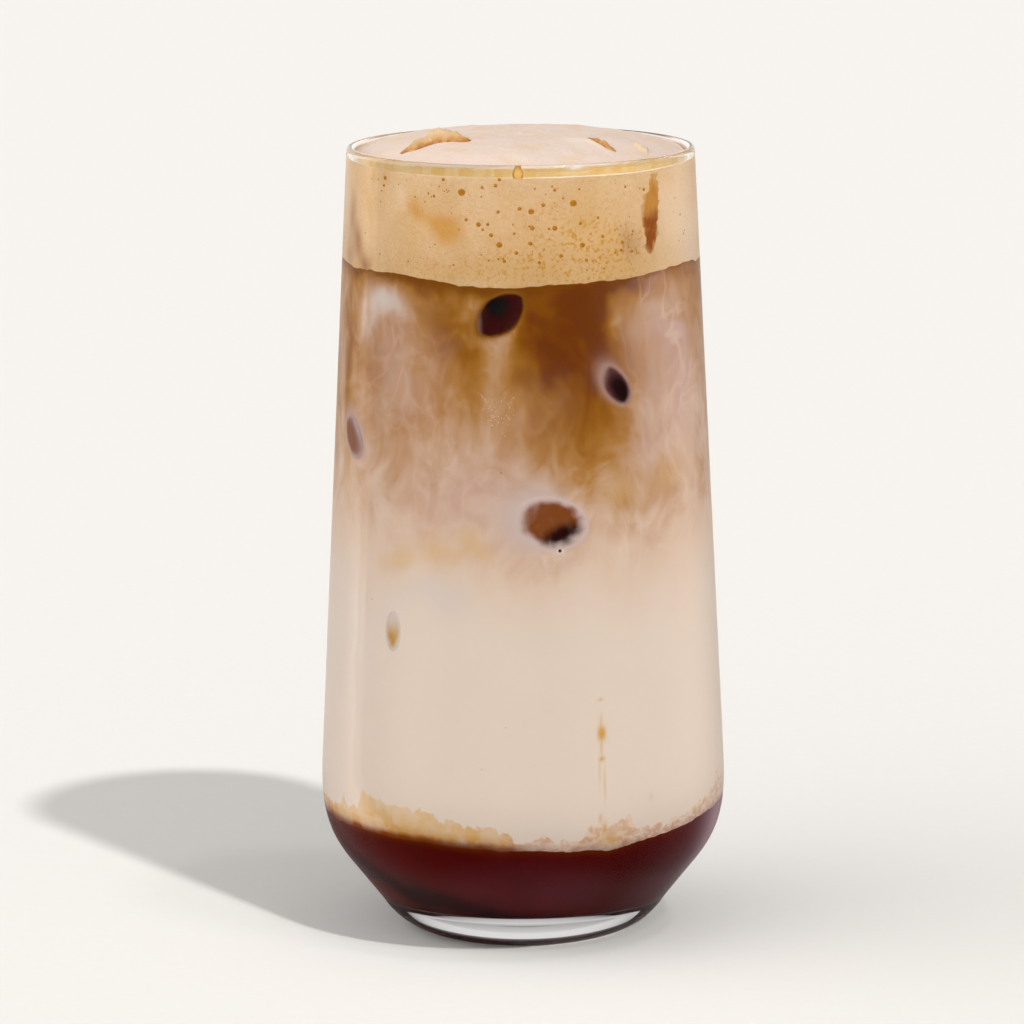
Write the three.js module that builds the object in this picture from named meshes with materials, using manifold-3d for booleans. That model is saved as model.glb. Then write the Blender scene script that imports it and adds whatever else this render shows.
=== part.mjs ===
// Iced latte in a tall stemless tumbler: dark syrup, milk, marbled coffee and a crown of cold foam,
// with ice cubes that stand in the drink and press on the clear wall.
// Millimetres, +Z up. The origin is the middle of the glass's foot, on the surface it stands on.
// Azimuth 0 is the front (-Y), and positive azimuths turn to the right (+X).
import * as THREE from 'three';
import { RoundedBoxGeometry } from 'three/addons/geometries/RoundedBoxGeometry.js';
import { mergeVertices } from 'three/addons/utils/BufferGeometryUtils.js';
import Module from 'manifold-3d';

const wasm = await Module();
wasm.setup();

// Glass, outside: radii and heights of its named rings
const GLASS_HEIGHT = 150;
const LIP_OUTER_RADIUS = 32.74;
const LIP_THICKNESS = 1.4;
const LIP_DROP = 0.7;
const BELLY_RADIUS = 38.38;
const BELLY_HEIGHT = 33.5;
const CONE_TOP_RADIUS = 33.68;
const CONE_TOP_HEIGHT = 14;
const HEEL_RADIUS = 27.5;
const HEEL_HEIGHT = 6.2;
const HEEL_BULGE = [24.7, 1.7];
const FOOT_OUTER_RADIUS = 19.4;
const FOOT_INNER_RADIUS = 17;
const PUNT_RISE = 1.3;

// How far the shoulder's curve leans on the cone below it and on the taper above it
const SHOULDER_LEAN = { cone: 7.1, taper: 9 };

// Glass, inside
const BELLY_WALL = 2.2;
const CONE_WALL = 2.6;
const FLOOR_HEIGHT = 8.2;
const FLOOR_RADIUS = 22;
const FLOOR_FILLET_TOP = 10.5;
const INNER_LEAN = { cone: 6.2, taper: 8.6 };

// Levels of the layers in the middle of the drink
const SYRUP_LEVEL = 24;
const MILK_LEVEL = 72;
const COFFEE_LEVEL = 129;
const FOAM_CONTACT = 147.2;
const FOAM_DOME = 5.3;

// Every neighbour keeps this gap
const GAP = 0.3;

// Facets
const ROUND_SEGMENTS = 60;
const CURVE_SEGMENTS = 5;
const ICE_SEGMENTS = 2;

// Ice cubes. Each is turned by three angles about X, Y and Z, then pushed outwards until it presses on the wall at
// its azimuth and height. A negative press stops it short of the wall.
const ICE_CUBES = [
  {
    name: 'ice_top_left', size: [15, 12.5, 18], edge: 1.8, turn: [20, 4, 2], azimuth: -50, height: 148.6, press: -0.6,
  },
  {
    name: 'ice_top_right', size: [18, 18, 18], edge: 2, turn: [-3, -3, 1], azimuth: 48, height: 133.6, press: 0.5,
  },
  {
    name: 'ice_upper_middle', size: [18, 17, 16], edge: 5, turn: [20, -2, 38], azimuth: -7, height: 122.7, press: 1.5,
  },
  {
    name: 'ice_upper_right', size: [17, 18, 18], edge: 3.4, turn: [28, -18, -14], azimuth: 32, height: 109, press: 0.9,
  },
  {
    name: 'ice_left', size: [19, 19, 18], edge: 3.6, turn: [12, -22, -18], azimuth: -66, height: 97.2, press: 0.6,
  },
  {
    name: 'ice_middle', size: [20, 19, 18], edge: 5.5, turn: [22, 3, 53], azimuth: 8, height: 84.2, press: 2,
  },
  {
    name: 'ice_low_left', size: [18, 19, 18], edge: 3.4, turn: [15, -13, 4], azimuth: -42, height: 62.8, press: 0.7,
  },
];

const materials = {
  glass: new THREE.MeshStandardMaterial({
    color: '#eef1ef', roughness: 0.04, metalness: 0, transparent: true, opacity: 0.3,
  }),
  syrup: new THREE.MeshStandardMaterial({ color: '#4f1512', roughness: 0.25, metalness: 0 }),
  milk: new THREE.MeshStandardMaterial({ color: '#e2d0bd', roughness: 0.4, metalness: 0 }),
  coffee: new THREE.MeshStandardMaterial({ color: '#a9805f', roughness: 0.35, metalness: 0 }),
  foam: new THREE.MeshStandardMaterial({ color: '#e6cdb0', roughness: 0.7, metalness: 0 }),
  ice: new THREE.MeshStandardMaterial({ color: '#7b5a48', roughness: 0.1, metalness: 0 }),
};

// Curves of the section, as points of radius and height
function bend(start, control, end) {
  const curve = new THREE.QuadraticBezierCurve(
    new THREE.Vector2(...start), new THREE.Vector2(...control), new THREE.Vector2(...end));
  return curve.getPoints(CURVE_SEGMENTS);
}

// The point that lies a reach beyond b on the line from a
function beyond(a, b, reach) {
  const length = Math.hypot(b[0] - a[0], b[1] - a[1]);
  return [b[0] + (b[0] - a[0]) * reach / length, b[1] + (b[1] - a[1]) * reach / length];
}

// The shoulder: leaves the cone along it and meets the taper along it
function shoulder(coneFoot, coneTop, belly, lip, lean) {
  const ends = [coneTop, beyond(coneFoot, coneTop, lean.cone), beyond(lip, belly, lean.taper), belly];
  return new THREE.CubicBezierCurve(...ends.map((end) => new THREE.Vector2(...end))).getPoints(CURVE_SEGMENTS);
}

// Where the line through a and b crosses the line through c and d
function crossing(a, b, c, d) {
  const along = [b[0] - a[0], b[1] - a[1]];
  const other = [d[0] - c[0], d[1] - c[1]];
  const turn = along[0] * other[1] - along[1] * other[0];
  const reach = ((c[0] - a[0]) * other[1] - (c[1] - a[1]) * other[0]) / turn;
  return [a[0] + reach * along[0], a[1] + reach * along[1]];
}

// Rings of the outer section, from the lip down to the foot
const lipOuter = [LIP_OUTER_RADIUS, GLASS_HEIGHT - LIP_DROP];
const belly = [BELLY_RADIUS, BELLY_HEIGHT];
const coneTop = [CONE_TOP_RADIUS, CONE_TOP_HEIGHT];
const heel = [HEEL_RADIUS, HEEL_HEIGHT];

// Rings of the inner section: the cone's wall is measured square to it
const lipInner = [LIP_OUTER_RADIUS - LIP_THICKNESS, GLASS_HEIGHT - LIP_DROP];
const bellyInner = [BELLY_RADIUS - BELLY_WALL, BELLY_HEIGHT];
const coneSlope = (CONE_TOP_RADIUS - HEEL_RADIUS) / (CONE_TOP_HEIGHT - HEEL_HEIGHT);
const coneLength = Math.hypot(1, coneSlope);
const coneTopInner = [
  CONE_TOP_RADIUS - CONE_WALL / coneLength,
  CONE_TOP_HEIGHT + CONE_WALL * coneSlope / coneLength,
];
const coneFoot = [coneTopInner[0] - coneSlope * (coneTopInner[1] - FLOOR_FILLET_TOP), FLOOR_FILLET_TOP];

// The hollow's outline, from the middle of the floor up to the lip
const floorEdge = [FLOOR_RADIUS, FLOOR_HEIGHT];
const innerOutline = [
  new THREE.Vector2(0, FLOOR_HEIGHT),
  ...bend(floorEdge, crossing(floorEdge, [0, FLOOR_HEIGHT], coneFoot, coneTopInner), coneFoot),
  ...shoulder(coneFoot, coneTopInner, bellyInner, lipInner, INNER_LEAN),
  new THREE.Vector2(...lipInner),
];

function radiusOnOutline(height) {
  for (let i = 1; i < innerOutline.length; i += 1) {
    const low = innerOutline[i - 1];
    const high = innerOutline[i];
    if (height <= high.y && high.y > low.y) {
      return low.x + (high.x - low.x) * Math.max(0, height - low.y) / (high.y - low.y);
    }
  }
  return lipInner[0];
}

// Turned bodies: a lathe turns about Y, so it is stood up on Z with its azimuth 0 at the front
function turned(outline) {
  return new THREE.LatheGeometry(outline, ROUND_SEGMENTS).rotateX(Math.PI / 2);
}

function glassGeometry() {
  const lipMiddle = LIP_OUTER_RADIUS - LIP_THICKNESS / 2;
  const outline = [
    ...bend([0, PUNT_RISE], [FOOT_INNER_RADIUS - 4, PUNT_RISE], [FOOT_INNER_RADIUS, 0]),
    ...bend([FOOT_OUTER_RADIUS, 0], HEEL_BULGE, heel),
    ...shoulder(heel, coneTop, belly, lipOuter, SHOULDER_LEAN),
    new THREE.Vector2(...lipOuter),
    new THREE.Vector2(lipOuter[0] - LIP_THICKNESS * 0.15, GLASS_HEIGHT - LIP_DROP * 0.3),
    new THREE.Vector2(lipMiddle, GLASS_HEIGHT),
    new THREE.Vector2(lipInner[0] + LIP_THICKNESS * 0.15, GLASS_HEIGHT - LIP_DROP * 0.3),
    ...innerOutline.toReversed(),
  ];
  return turned(outline);
}

// The hollow, kept one gap clear of the glass, and carried on past the lip
function hollowGeometry() {
  const headroom = 10;
  const outline = innerOutline.map((point) => new THREE.Vector2(Math.max(0, point.x - GAP), point.y));
  outline.push(new THREE.Vector2(lipInner[0] - GAP, GLASS_HEIGHT + headroom));
  outline.push(new THREE.Vector2(0, GLASS_HEIGHT + headroom));
  return turned(outline);
}

// Surfaces between the layers: heights by azimuth (radians) and by share of the radius, on rings at named shares
const floor = {
  shares: [0, 0.84, 1],
  height: () => FLOOR_HEIGHT + GAP,
};

const syrupTop = {
  shares: [0, 0.6, 1],
  height: (azimuth, share) => {
    const dip = 1.5 * Math.max(0, Math.cos(azimuth)) ** 1.5;
    const sway = 0.55 * Math.sin(azimuth) + 0.65 * Math.sin(azimuth) ** 2 - 0.5 * Math.sin(3 * azimuth);
    return SYRUP_LEVEL + share * (sway - dip);
  },
};

const milkTop = {
  shares: [0, 0.6, 1],
  height: (azimuth, share) => {
    const sway = 2.6 * Math.sin(2 * azimuth + 0.8) + 1.3 * Math.sin(5 * azimuth + 2.1);
    return MILK_LEVEL + share * sway;
  },
};

const coffeeTop = {
  shares: [0, 0.6, 1],
  height: (azimuth, share) => {
    const dip = 1.4 * Math.max(0, Math.cos(azimuth)) ** 5;
    return COFFEE_LEVEL + share * (0.25 * Math.sin(7 * azimuth) - dip);
  },
};

// The foam domes above the lip, and swells a little where the two top cubes stand in it
const FOAM_SWELLS = [
  { x: -15, y: -10, rise: 0.4, spread: 8 },
  { x: 13, y: -12, rise: 0.7, spread: 8 },
];

const foamTop = {
  shares: [0, 0.25, 0.5, 0.7, 0.85, 0.95, 1],
  height: (azimuth, share) => {
    const radius = share * radiusOnOutline(FOAM_CONTACT);
    const x = radius * Math.sin(azimuth);
    const y = -radius * Math.cos(azimuth);
    const edgeFade = 1 - share ** 4;
    let rise = 0.3 * Math.sin(azimuth) ** 2 * share + FOAM_DOME * edgeFade;
    for (const swell of FOAM_SWELLS) {
      const away = Math.hypot(x - swell.x, y - swell.y) / swell.spread;
      rise += swell.rise * Math.exp(-away * away) * edgeFade;
    }
    return FOAM_CONTACT + rise;
  },
};

// One layer that fills the hollow between two surfaces. A unit drum gives the rings, and each of its points is
// carried to its azimuth, its share of the radius and its share of the layer's height.
function layerGeometry(bottom, top, lift, wallSteps) {
  const outline = bottom.shares.map((share) => new THREE.Vector2(share, 0));
  for (let i = 1; i < wallSteps; i += 1) {
    outline.push(new THREE.Vector2(1, i / wallSteps));
  }
  outline.push(...top.shares.toReversed().map((share) => new THREE.Vector2(share, 1)));
  const geometry = turned(outline);
  const place = geometry.attributes.position;
  for (let i = 0; i < place.count; i += 1) {
    const azimuth = Math.atan2(place.getX(i), -place.getY(i));
    const share = Math.hypot(place.getX(i), place.getY(i));
    const low = bottom.height(azimuth, share) + lift;
    const height = low + place.getZ(i) * (top.height(azimuth, share) - low);
    const radius = share * (radiusOnOutline(height) - GAP);
    place.setXYZ(i, radius * Math.sin(azimuth), -radius * Math.cos(azimuth), height);
  }
  return geometry;
}

// Ice: a rounded cube, placed by where it presses on the wall
function iceGeometry(cube, growth) {
  const [width, depth, height] = cube.size.map((side) => side + 2 * growth);
  const geometry = new RoundedBoxGeometry(width, depth, height, ICE_SEGMENTS, cube.edge + growth);
  const [turnX, turnY, turnZ] = cube.turn.map(THREE.MathUtils.degToRad);
  const rotation = new THREE.Quaternion().setFromEuler(new THREE.Euler(turnX, turnY, turnZ));
  const azimuth = THREE.MathUtils.degToRad(cube.azimuth);
  const outwards = new THREE.Vector3(Math.sin(azimuth), -Math.cos(azimuth), 0);
  const inCube = outwards.clone().applyQuaternion(rotation.clone().invert());
  const corner = new THREE.Vector3(...cube.size.map((side) => side / 2 - cube.edge));
  const support = new THREE.Vector3(
    Math.sign(inCube.x) * corner.x, Math.sign(inCube.y) * corner.y, Math.sign(inCube.z) * corner.z);
  support.addScaledVector(inCube, cube.edge).applyQuaternion(rotation);
  const centre = outwards.multiplyScalar(radiusOnOutline(cube.height) - GAP + cube.press);
  centre.z = cube.height;
  centre.sub(support);
  return geometry.applyQuaternion(rotation).translate(centre.x, centre.y, centre.z);
}

// Closed meshes to solids and back
function solidOf(geometry) {
  const bare = geometry.clone();
  bare.deleteAttribute('normal');
  bare.deleteAttribute('uv');
  const welded = mergeVertices(bare);
  return new wasm.Manifold(new wasm.Mesh({
    numProp: 3,
    vertProperties: new Float32Array(welded.attributes.position.array),
    triVerts: new Uint32Array(welded.index.array),
  }));
}

function geometryOf(solid) {
  const mesh = solid.getMesh();
  const geometry = new THREE.BufferGeometry();
  geometry.setAttribute('position', new THREE.BufferAttribute(mesh.vertProperties, 3));
  geometry.setIndex(new THREE.BufferAttribute(mesh.triVerts, 1));
  geometry.computeVertexNormals();
  return geometry;
}

const drink = new THREE.Group();

function addPiece(name, geometry, material) {
  const piece = new THREE.Mesh(geometry, material);
  piece.name = name;
  drink.add(piece);
}

addPiece('glass', glassGeometry(), materials.glass);

const hollow = solidOf(hollowGeometry());
for (const cube of ICE_CUBES) {
  addPiece(cube.name, geometryOf(solidOf(iceGeometry(cube, 0)).intersect(hollow)), materials.ice);
}

// Each layer leaves room for the ice that stands in it
const iceRoom = ICE_CUBES.map((cube) => solidOf(iceGeometry(cube, GAP)));

function addLayer(name, bottom, top, lift, wallSteps) {
  let layer = solidOf(layerGeometry(bottom, top, lift, wallSteps));
  for (const room of iceRoom) {
    layer = layer.subtract(room);
  }
  addPiece(name, geometryOf(layer), materials[name]);
}

addLayer('syrup', floor, syrupTop, 0, 6);
addLayer('milk', syrupTop, milkTop, GAP, 5);
addLayer('coffee', milkTop, coffeeTop, GAP, 2);
addLayer('foam', coffeeTop, foamTop, GAP, 2);

export default drink;
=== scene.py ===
"""Layered iced latte in a tall tumbler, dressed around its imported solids.

Sizes in the classes are millimetres and become metres when a mesh is made. Azimuth 0 is the front of the
glass and grows to the right, in degrees. +Z is up, and heights start at the surface that the glass stands on.
"""
import logging
import math
import random
from collections.abc import Callable, Sequence
from dataclasses import dataclass, replace
from enum import Enum

import bmesh
import bpy
import numpy as np
from mathutils import Matrix, Vector, noise


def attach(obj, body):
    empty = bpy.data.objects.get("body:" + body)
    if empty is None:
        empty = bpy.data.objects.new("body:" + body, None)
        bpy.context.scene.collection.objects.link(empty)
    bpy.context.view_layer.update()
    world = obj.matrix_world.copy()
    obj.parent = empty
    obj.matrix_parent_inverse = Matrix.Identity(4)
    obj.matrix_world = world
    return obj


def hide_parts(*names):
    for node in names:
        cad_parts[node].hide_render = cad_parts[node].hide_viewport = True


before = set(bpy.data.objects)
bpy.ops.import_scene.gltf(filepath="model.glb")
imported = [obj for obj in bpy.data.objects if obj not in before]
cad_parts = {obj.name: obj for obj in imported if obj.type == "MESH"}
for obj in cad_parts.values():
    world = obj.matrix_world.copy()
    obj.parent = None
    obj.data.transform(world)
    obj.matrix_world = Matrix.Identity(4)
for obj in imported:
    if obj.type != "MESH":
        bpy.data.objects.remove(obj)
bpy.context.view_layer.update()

logging.basicConfig(level=logging.INFO, format="%(message)s")
log = logging.getLogger("iced_latte")

MM = 0.001
BODY = "root"
Point = tuple[float, float]
Triple = tuple[float, float, float]
Colour = tuple[float, float, float, float]
Tones = tuple[tuple[float, str], ...]
Washes = tuple[tuple[str, str], ...]
Socket = bpy.types.NodeSocket
Tree = bpy.types.NodeTree
Number = float | np.ndarray
Shell = bmesh.types.BMesh
Surface = Callable[[np.ndarray, np.ndarray], np.ndarray]
Paint = Callable[[str], Colour]


class Slot(Enum):
    """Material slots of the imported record."""

    GLASS = "glass"
    SYRUP = "syrup"
    COFFEE = "coffee"
    FOAM = "foam"
    ICE = "ice"


# Colours

# What the wall does to the colour behind it: the share that reaches the eye, the share of that which the wall
# sends round again, and the wall's own shine. Paint is never darker than the last number.
WALL_GAIN = (1.11, 1.10, 1.06)
WALL_ECHO = 0.28
WALL_SHINE = 0.005
DARKEST = 0.001
# How bright a level white surface in open air looks
OPEN_GAIN = 1.65


def linear(code: str) -> Colour:
    """Turns an sRGB hex colour to linear light.

    Args:
        code: colour as #rrggbb.

    Returns:
        Red, green, blue and an alpha of 1.
    """
    parts = [int(code[i:i + 2], 16) / 255 for i in (1, 3, 5)]
    red, green, blue = (p / 12.92 if p <= 0.04045 else ((p + 0.055) / 1.055) ** 2.4 for p in parts)
    return red, green, blue, 1.0


def behind_wall(code: str) -> Colour:
    """Gives the paint that looks like a colour once it is seen through the wall.

    Args:
        code: the colour that the eye sees, as #rrggbb.

    Returns:
        The paint in linear light.
    """
    seen = [max(0.0, part - WALL_SHINE) for part in linear(code)[:3]]
    red, green, blue = (max(DARKEST, part / (gain + WALL_ECHO * part)) for part, gain in zip(seen, WALL_GAIN))
    return red, green, blue, 1.0


def in_open(code: str) -> Colour:
    """Gives the paint that looks like a colour on a level surface in open air."""
    red, green, blue = (part / OPEN_GAIN for part in linear(code)[:3])
    return red, green, blue, 1.0


# Numbers

def smooth(low: float, high: float, value: Number) -> Number:
    """Eases values from 0 at low to 1 at high."""
    share = np.clip((value - low) / (high - low), 0, 1)
    return share * share * (3 - 2 * share)


def between(pairs: Sequence[Point], value: Number) -> Number:
    """Reads values from (place, value) pairs, by straight lines between them."""
    places, values = zip(*pairs)
    return np.interp(value, places, values)


# How much weaker and how much finer each octave of noise is
OCTAVE_FALL = 0.9
OCTAVE_STEP = 2.1


def rough(points: np.ndarray, period: float, seed: float, octaves: int = 4) -> np.ndarray:
    """Gives fractal noise of about -1 to 1, whose largest waves are a period wide, in millimetres."""
    moved = points / period + np.array([seed, 1.7 * seed, -seed])
    return np.array([noise.fractal(point, OCTAVE_FALL, OCTAVE_STEP, octaves) for point in moved.tolist()])


# Usual radius of the wall, for patterns on it
MEAN_RADIUS = 34.0


def around(azimuth: Number, height: Number) -> np.ndarray:
    """Gives rows of points on a round wall, by azimuth and height."""
    turn = np.radians(azimuth)
    return np.stack([MEAN_RADIUS * np.sin(turn), -MEAN_RADIUS * np.cos(turn), height + 0 * turn], axis=-1)


# Nodes

class Kind(Enum):
    """Kinds of node: Blender's type, its inputs in the order they are given, its output and its settings."""

    SURFACE = ("ShaderNodeOutputMaterial", ("Surface",), 0, {})
    SURROUNDINGS = ("ShaderNodeOutputWorld", ("Surface",), 0, {})
    AIR = ("ShaderNodeBackground", ("Color", "Strength"), 0, {})
    BODY = ("ShaderNodeBsdfPrincipled", ("Roughness", "Specular IOR Level", "Base Color", "Normal"), 0, {})
    GLASS = ("ShaderNodeBsdfPrincipled",
             ("Roughness", "Specular IOR Level", "Base Color", "Specular Tint", "IOR", "Transmission Weight"),
             0, {})
    BENT = ("ShaderNodeBsdfRefraction", ("Color", "IOR"), 0, {})
    CLEAR = ("ShaderNodeBsdfTransparent", ("Color",), 0, {})
    MIRROR = ("ShaderNodeBsdfAnisotropic", ("Color", "Roughness"), 0, {})
    BLEND = ("ShaderNodeMixShader", (0, 1, 2), 0, {})
    SPOT = ("ShaderNodeTexCoord", (), "Object", {})
    WAY = ("ShaderNodeTexCoord", (), "Generated", {})
    SCALED = ("ShaderNodeMapping", ("Vector", "Scale"), 0, {})
    NOTE = ("ShaderNodeAttribute", (), "Fac", {})
    FACING = ("ShaderNodeNewGeometry", (), "Normal", {})
    LEAVING = ("ShaderNodeNewGeometry", (), "Backfacing", {})
    SHADOW = ("ShaderNodeLightPath", (), "Is Shadow Ray", {})
    GRAZING = ("ShaderNodeFresnel", ("IOR",), 0, {})
    RELIEF = ("ShaderNodeBump", ("Height", "Distance", "Strength"), 0, {})
    NOISE = ("ShaderNodeTexNoise", ("Vector", "Scale", "Detail", "Distortion"), 0, {})
    CURRENT = ("ShaderNodeTexNoise", ("Vector", "Scale", "Detail"), "Color", {})
    CELLS = ("ShaderNodeTexVoronoi", ("Vector", "Scale", "Randomness"), "Distance", {})
    RAMP = ("ShaderNodeValToRGB", ("Fac",), 0, {})
    MIX = ("ShaderNodeMix", (0, 6, 7), 2, {"data_type": "RGBA"})
    EASE = ("ShaderNodeMapRange", ("Value", "From Min", "From Max", "To Min", "To Max"), 0,
            {"interpolation_type": "SMOOTHSTEP"})
    JOINED = ("ShaderNodeCombineXYZ", (0, 1, 2), 0, {})
    UPWARDS = ("ShaderNodeSeparateXYZ", (0,), 2, {})
    ADD = ("ShaderNodeMath", (0, 1), 0, {"operation": "ADD"})
    SUBTRACT = ("ShaderNodeMath", (0, 1), 0, {"operation": "SUBTRACT"})
    MULTIPLY = ("ShaderNodeMath", (0, 1), 0, {"operation": "MULTIPLY"})
    DIVIDE = ("ShaderNodeMath", (0, 1), 0, {"operation": "DIVIDE"})
    LARGER = ("ShaderNodeMath", (0, 1), 0, {"operation": "MAXIMUM"})
    UNSIGNED = ("ShaderNodeMath", (0,), 0, {"operation": "ABSOLUTE"})
    SHIFT = ("ShaderNodeVectorMath", (0, 1), 0, {"operation": "SUBTRACT"})
    TIMES = ("ShaderNodeVectorMath", (0, 1), 0, {"operation": "MULTIPLY"})
    CARRY = ("ShaderNodeVectorMath", (0, 1, 2), 0, {"operation": "MULTIPLY_ADD"})
    TOWARDS = ("ShaderNodeVectorMath", (0, 1), "Value", {"operation": "DOT_PRODUCT"})


def add(tree: Tree, kind: Kind, *inputs: object, stops: Sequence[tuple[float, Colour]] = (),
        **settings: object) -> Socket | None:
    """Adds a node with its settings and links.

    Args:
        tree: node tree that takes the node.
        kind: which node it is.
        inputs: values, or outputs that feed it, in the order of its kind.
        stops: places and colours of a colour ramp.
        settings: further properties of the node.

    Returns:
        The output that its kind reads, where it has one.
    """
    name, sockets, output, fixed = kind.value
    node = tree.nodes.new(name)
    for label, value in (fixed | settings).items():
        setattr(node, label, value)
    for key, value in zip(sockets, inputs):
        if isinstance(value, Socket):
            tree.links.new(value, node.inputs[key])
        else:
            node.inputs[key].default_value = value
    if stops:
        ramp = node.color_ramp
        while len(ramp.elements) < len(stops):
            ramp.elements.new(0.5)
        for element, (at, colour) in zip(ramp.elements, stops):
            element.position = at
            element.color = colour
    return node.outputs[output] if node.outputs else None


# Patterns

def place(tree: Tree, rise: float = 1.0) -> Socket:
    """Gives object coordinates in millimetres, with patterns a rise times taller than wide."""
    return add(tree, Kind.SCALED, add(tree, Kind.SPOT), (1 / MM, 1 / MM, 1 / MM / rise))


def swing(tree: Tree, value: Socket, size: float | Socket) -> Socket:
    """Turns noise into a change to both sides of nothing, of a size."""
    return add(tree, Kind.MULTIPLY, add(tree, Kind.SUBTRACT, value, 0.5), size)


def crossing(tree: Tree, value: Socket, width: float) -> Socket:
    """Gives thin lines where noise crosses its middle value."""
    near = add(tree, Kind.UNSIGNED, add(tree, Kind.SUBTRACT, value, 0.5))
    return add(tree, Kind.EASE, near, 0.0, width, 1.0, 0.0)


def stirred(tree: Tree, spot: Socket, period: float, reach: float) -> Socket:
    """Moves coordinates as currents would, so that patterns read there run in long curls.

    Args:
        tree: node tree that takes the nodes.
        spot: coordinates in millimetres.
        period: size of the currents in millimetres.
        reach: how far they carry, in millimetres.

    Returns:
        The moved coordinates.
    """
    current = add(tree, Kind.CURRENT, spot, 1 / period, 1.0)
    pull = add(tree, Kind.SHIFT, current, (0.5, 0.5, 0.5))
    return add(tree, Kind.CARRY, pull, (reach, reach, reach), spot)


def with_painted_light(tree: Tree, colour: Socket) -> Socket:
    """Brightens a colour by the painted light that the mesh notes, which stands in for light carried inside.
    """
    lift = [add(tree, Kind.NOTE, attribute_name="lift") for _ in range(3)]
    return add(tree, Kind.TIMES, colour, add(tree, Kind.JOINED, *lift))


def washed(tree: Tree, colour: Socket, washes: Washes, paint: Paint = behind_wall) -> Socket:
    """Lays washes of colour over each other, each where the mesh notes it.

    Args:
        tree: node tree that takes the nodes.
        colour: colour under them all.
        washes: name of each note, and its colour as #rrggbb.
        paint: how a seen colour becomes paint.

    Returns:
        The colour with every wash on it.
    """
    for note, code in washes:
        colour = add(tree, Kind.MIX, add(tree, Kind.NOTE, attribute_name=note), colour, paint(code))
    return colour


def painted(tones: Tones, paint: Paint = behind_wall) -> list[tuple[float, Colour]]:
    """Turns the seen colours of a ramp to paint."""
    return [(at, paint(code)) for at, code in tones]


# Meshes

# Points closer than this share of a unit are one, as at the poles
POLE_GAP = 1e-4


def spun(outline: Sequence[Point], steps: int, scale: float = MM) -> Shell:
    """Turns an outline about the axis.

    Args:
        outline: (radius, height) points, on the axis at both ends or closed on themselves.
        steps: how many facets go round.
        scale: size of one unit of the outline in metres.

    Returns:
        A closed shell with its faces outwards.
    """
    shell = bmesh.new()
    points = [shell.verts.new((radius * scale, 0, height * scale)) for radius, height in outline]
    edges = [shell.edges.new(pair) for pair in zip(points, points[1:])]
    bmesh.ops.spin(shell, geom=points + edges, cent=(0, 0, 0), axis=(0, 0, 1), angle=math.tau, steps=steps,
                   use_merge=True)
    bmesh.ops.remove_doubles(shell, verts=shell.verts, dist=POLE_GAP * scale)
    bmesh.ops.recalc_face_normals(shell, faces=shell.faces)
    return shell


def piece_from(shell: Shell, name: str, material: bpy.types.Material,
               notes: dict[str, np.ndarray] | None = None) -> bpy.types.Object:
    """Makes a smooth object of a shell, with its place in its mesh.

    Args:
        shell: the shell, which is used up.
        name: name of the piece.
        material: its finish.
        notes: numbers or colours that each point carries, by name.

    Returns:
        The object.
    """
    mesh = bpy.data.meshes.new(name)
    shell.to_mesh(mesh)
    shell.free()
    mesh.polygons.foreach_set("use_smooth", [True] * len(mesh.polygons))
    for label, values in (notes or {}).items():
        kind, field = ("FLOAT_COLOR", "color") if values.ndim > 1 else ("FLOAT", "value")
        mesh.attributes.new(label, kind, "POINT").data.foreach_set(field, values.astype(np.float32).ravel())
    mesh.materials.append(material)
    piece = bpy.data.objects.new(name, mesh)
    bpy.context.scene.collection.objects.link(piece)
    return piece


def tied(piece: bpy.types.Object, slot: Slot, *nodes: str) -> None:
    """Ties a finished piece to the body and hides the solids that it stands for.

    Args:
        piece: the finished piece.
        slot: material slot of the record; not used.
        nodes: names of the solids that it replaces.
    """
    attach(piece, BODY)
    if nodes:
        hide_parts(*nodes)
    log.info("%s: %d faces", piece.name, len(piece.data.polygons))


def quick(full: int) -> int:
    return full


# Section of the glass

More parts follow.
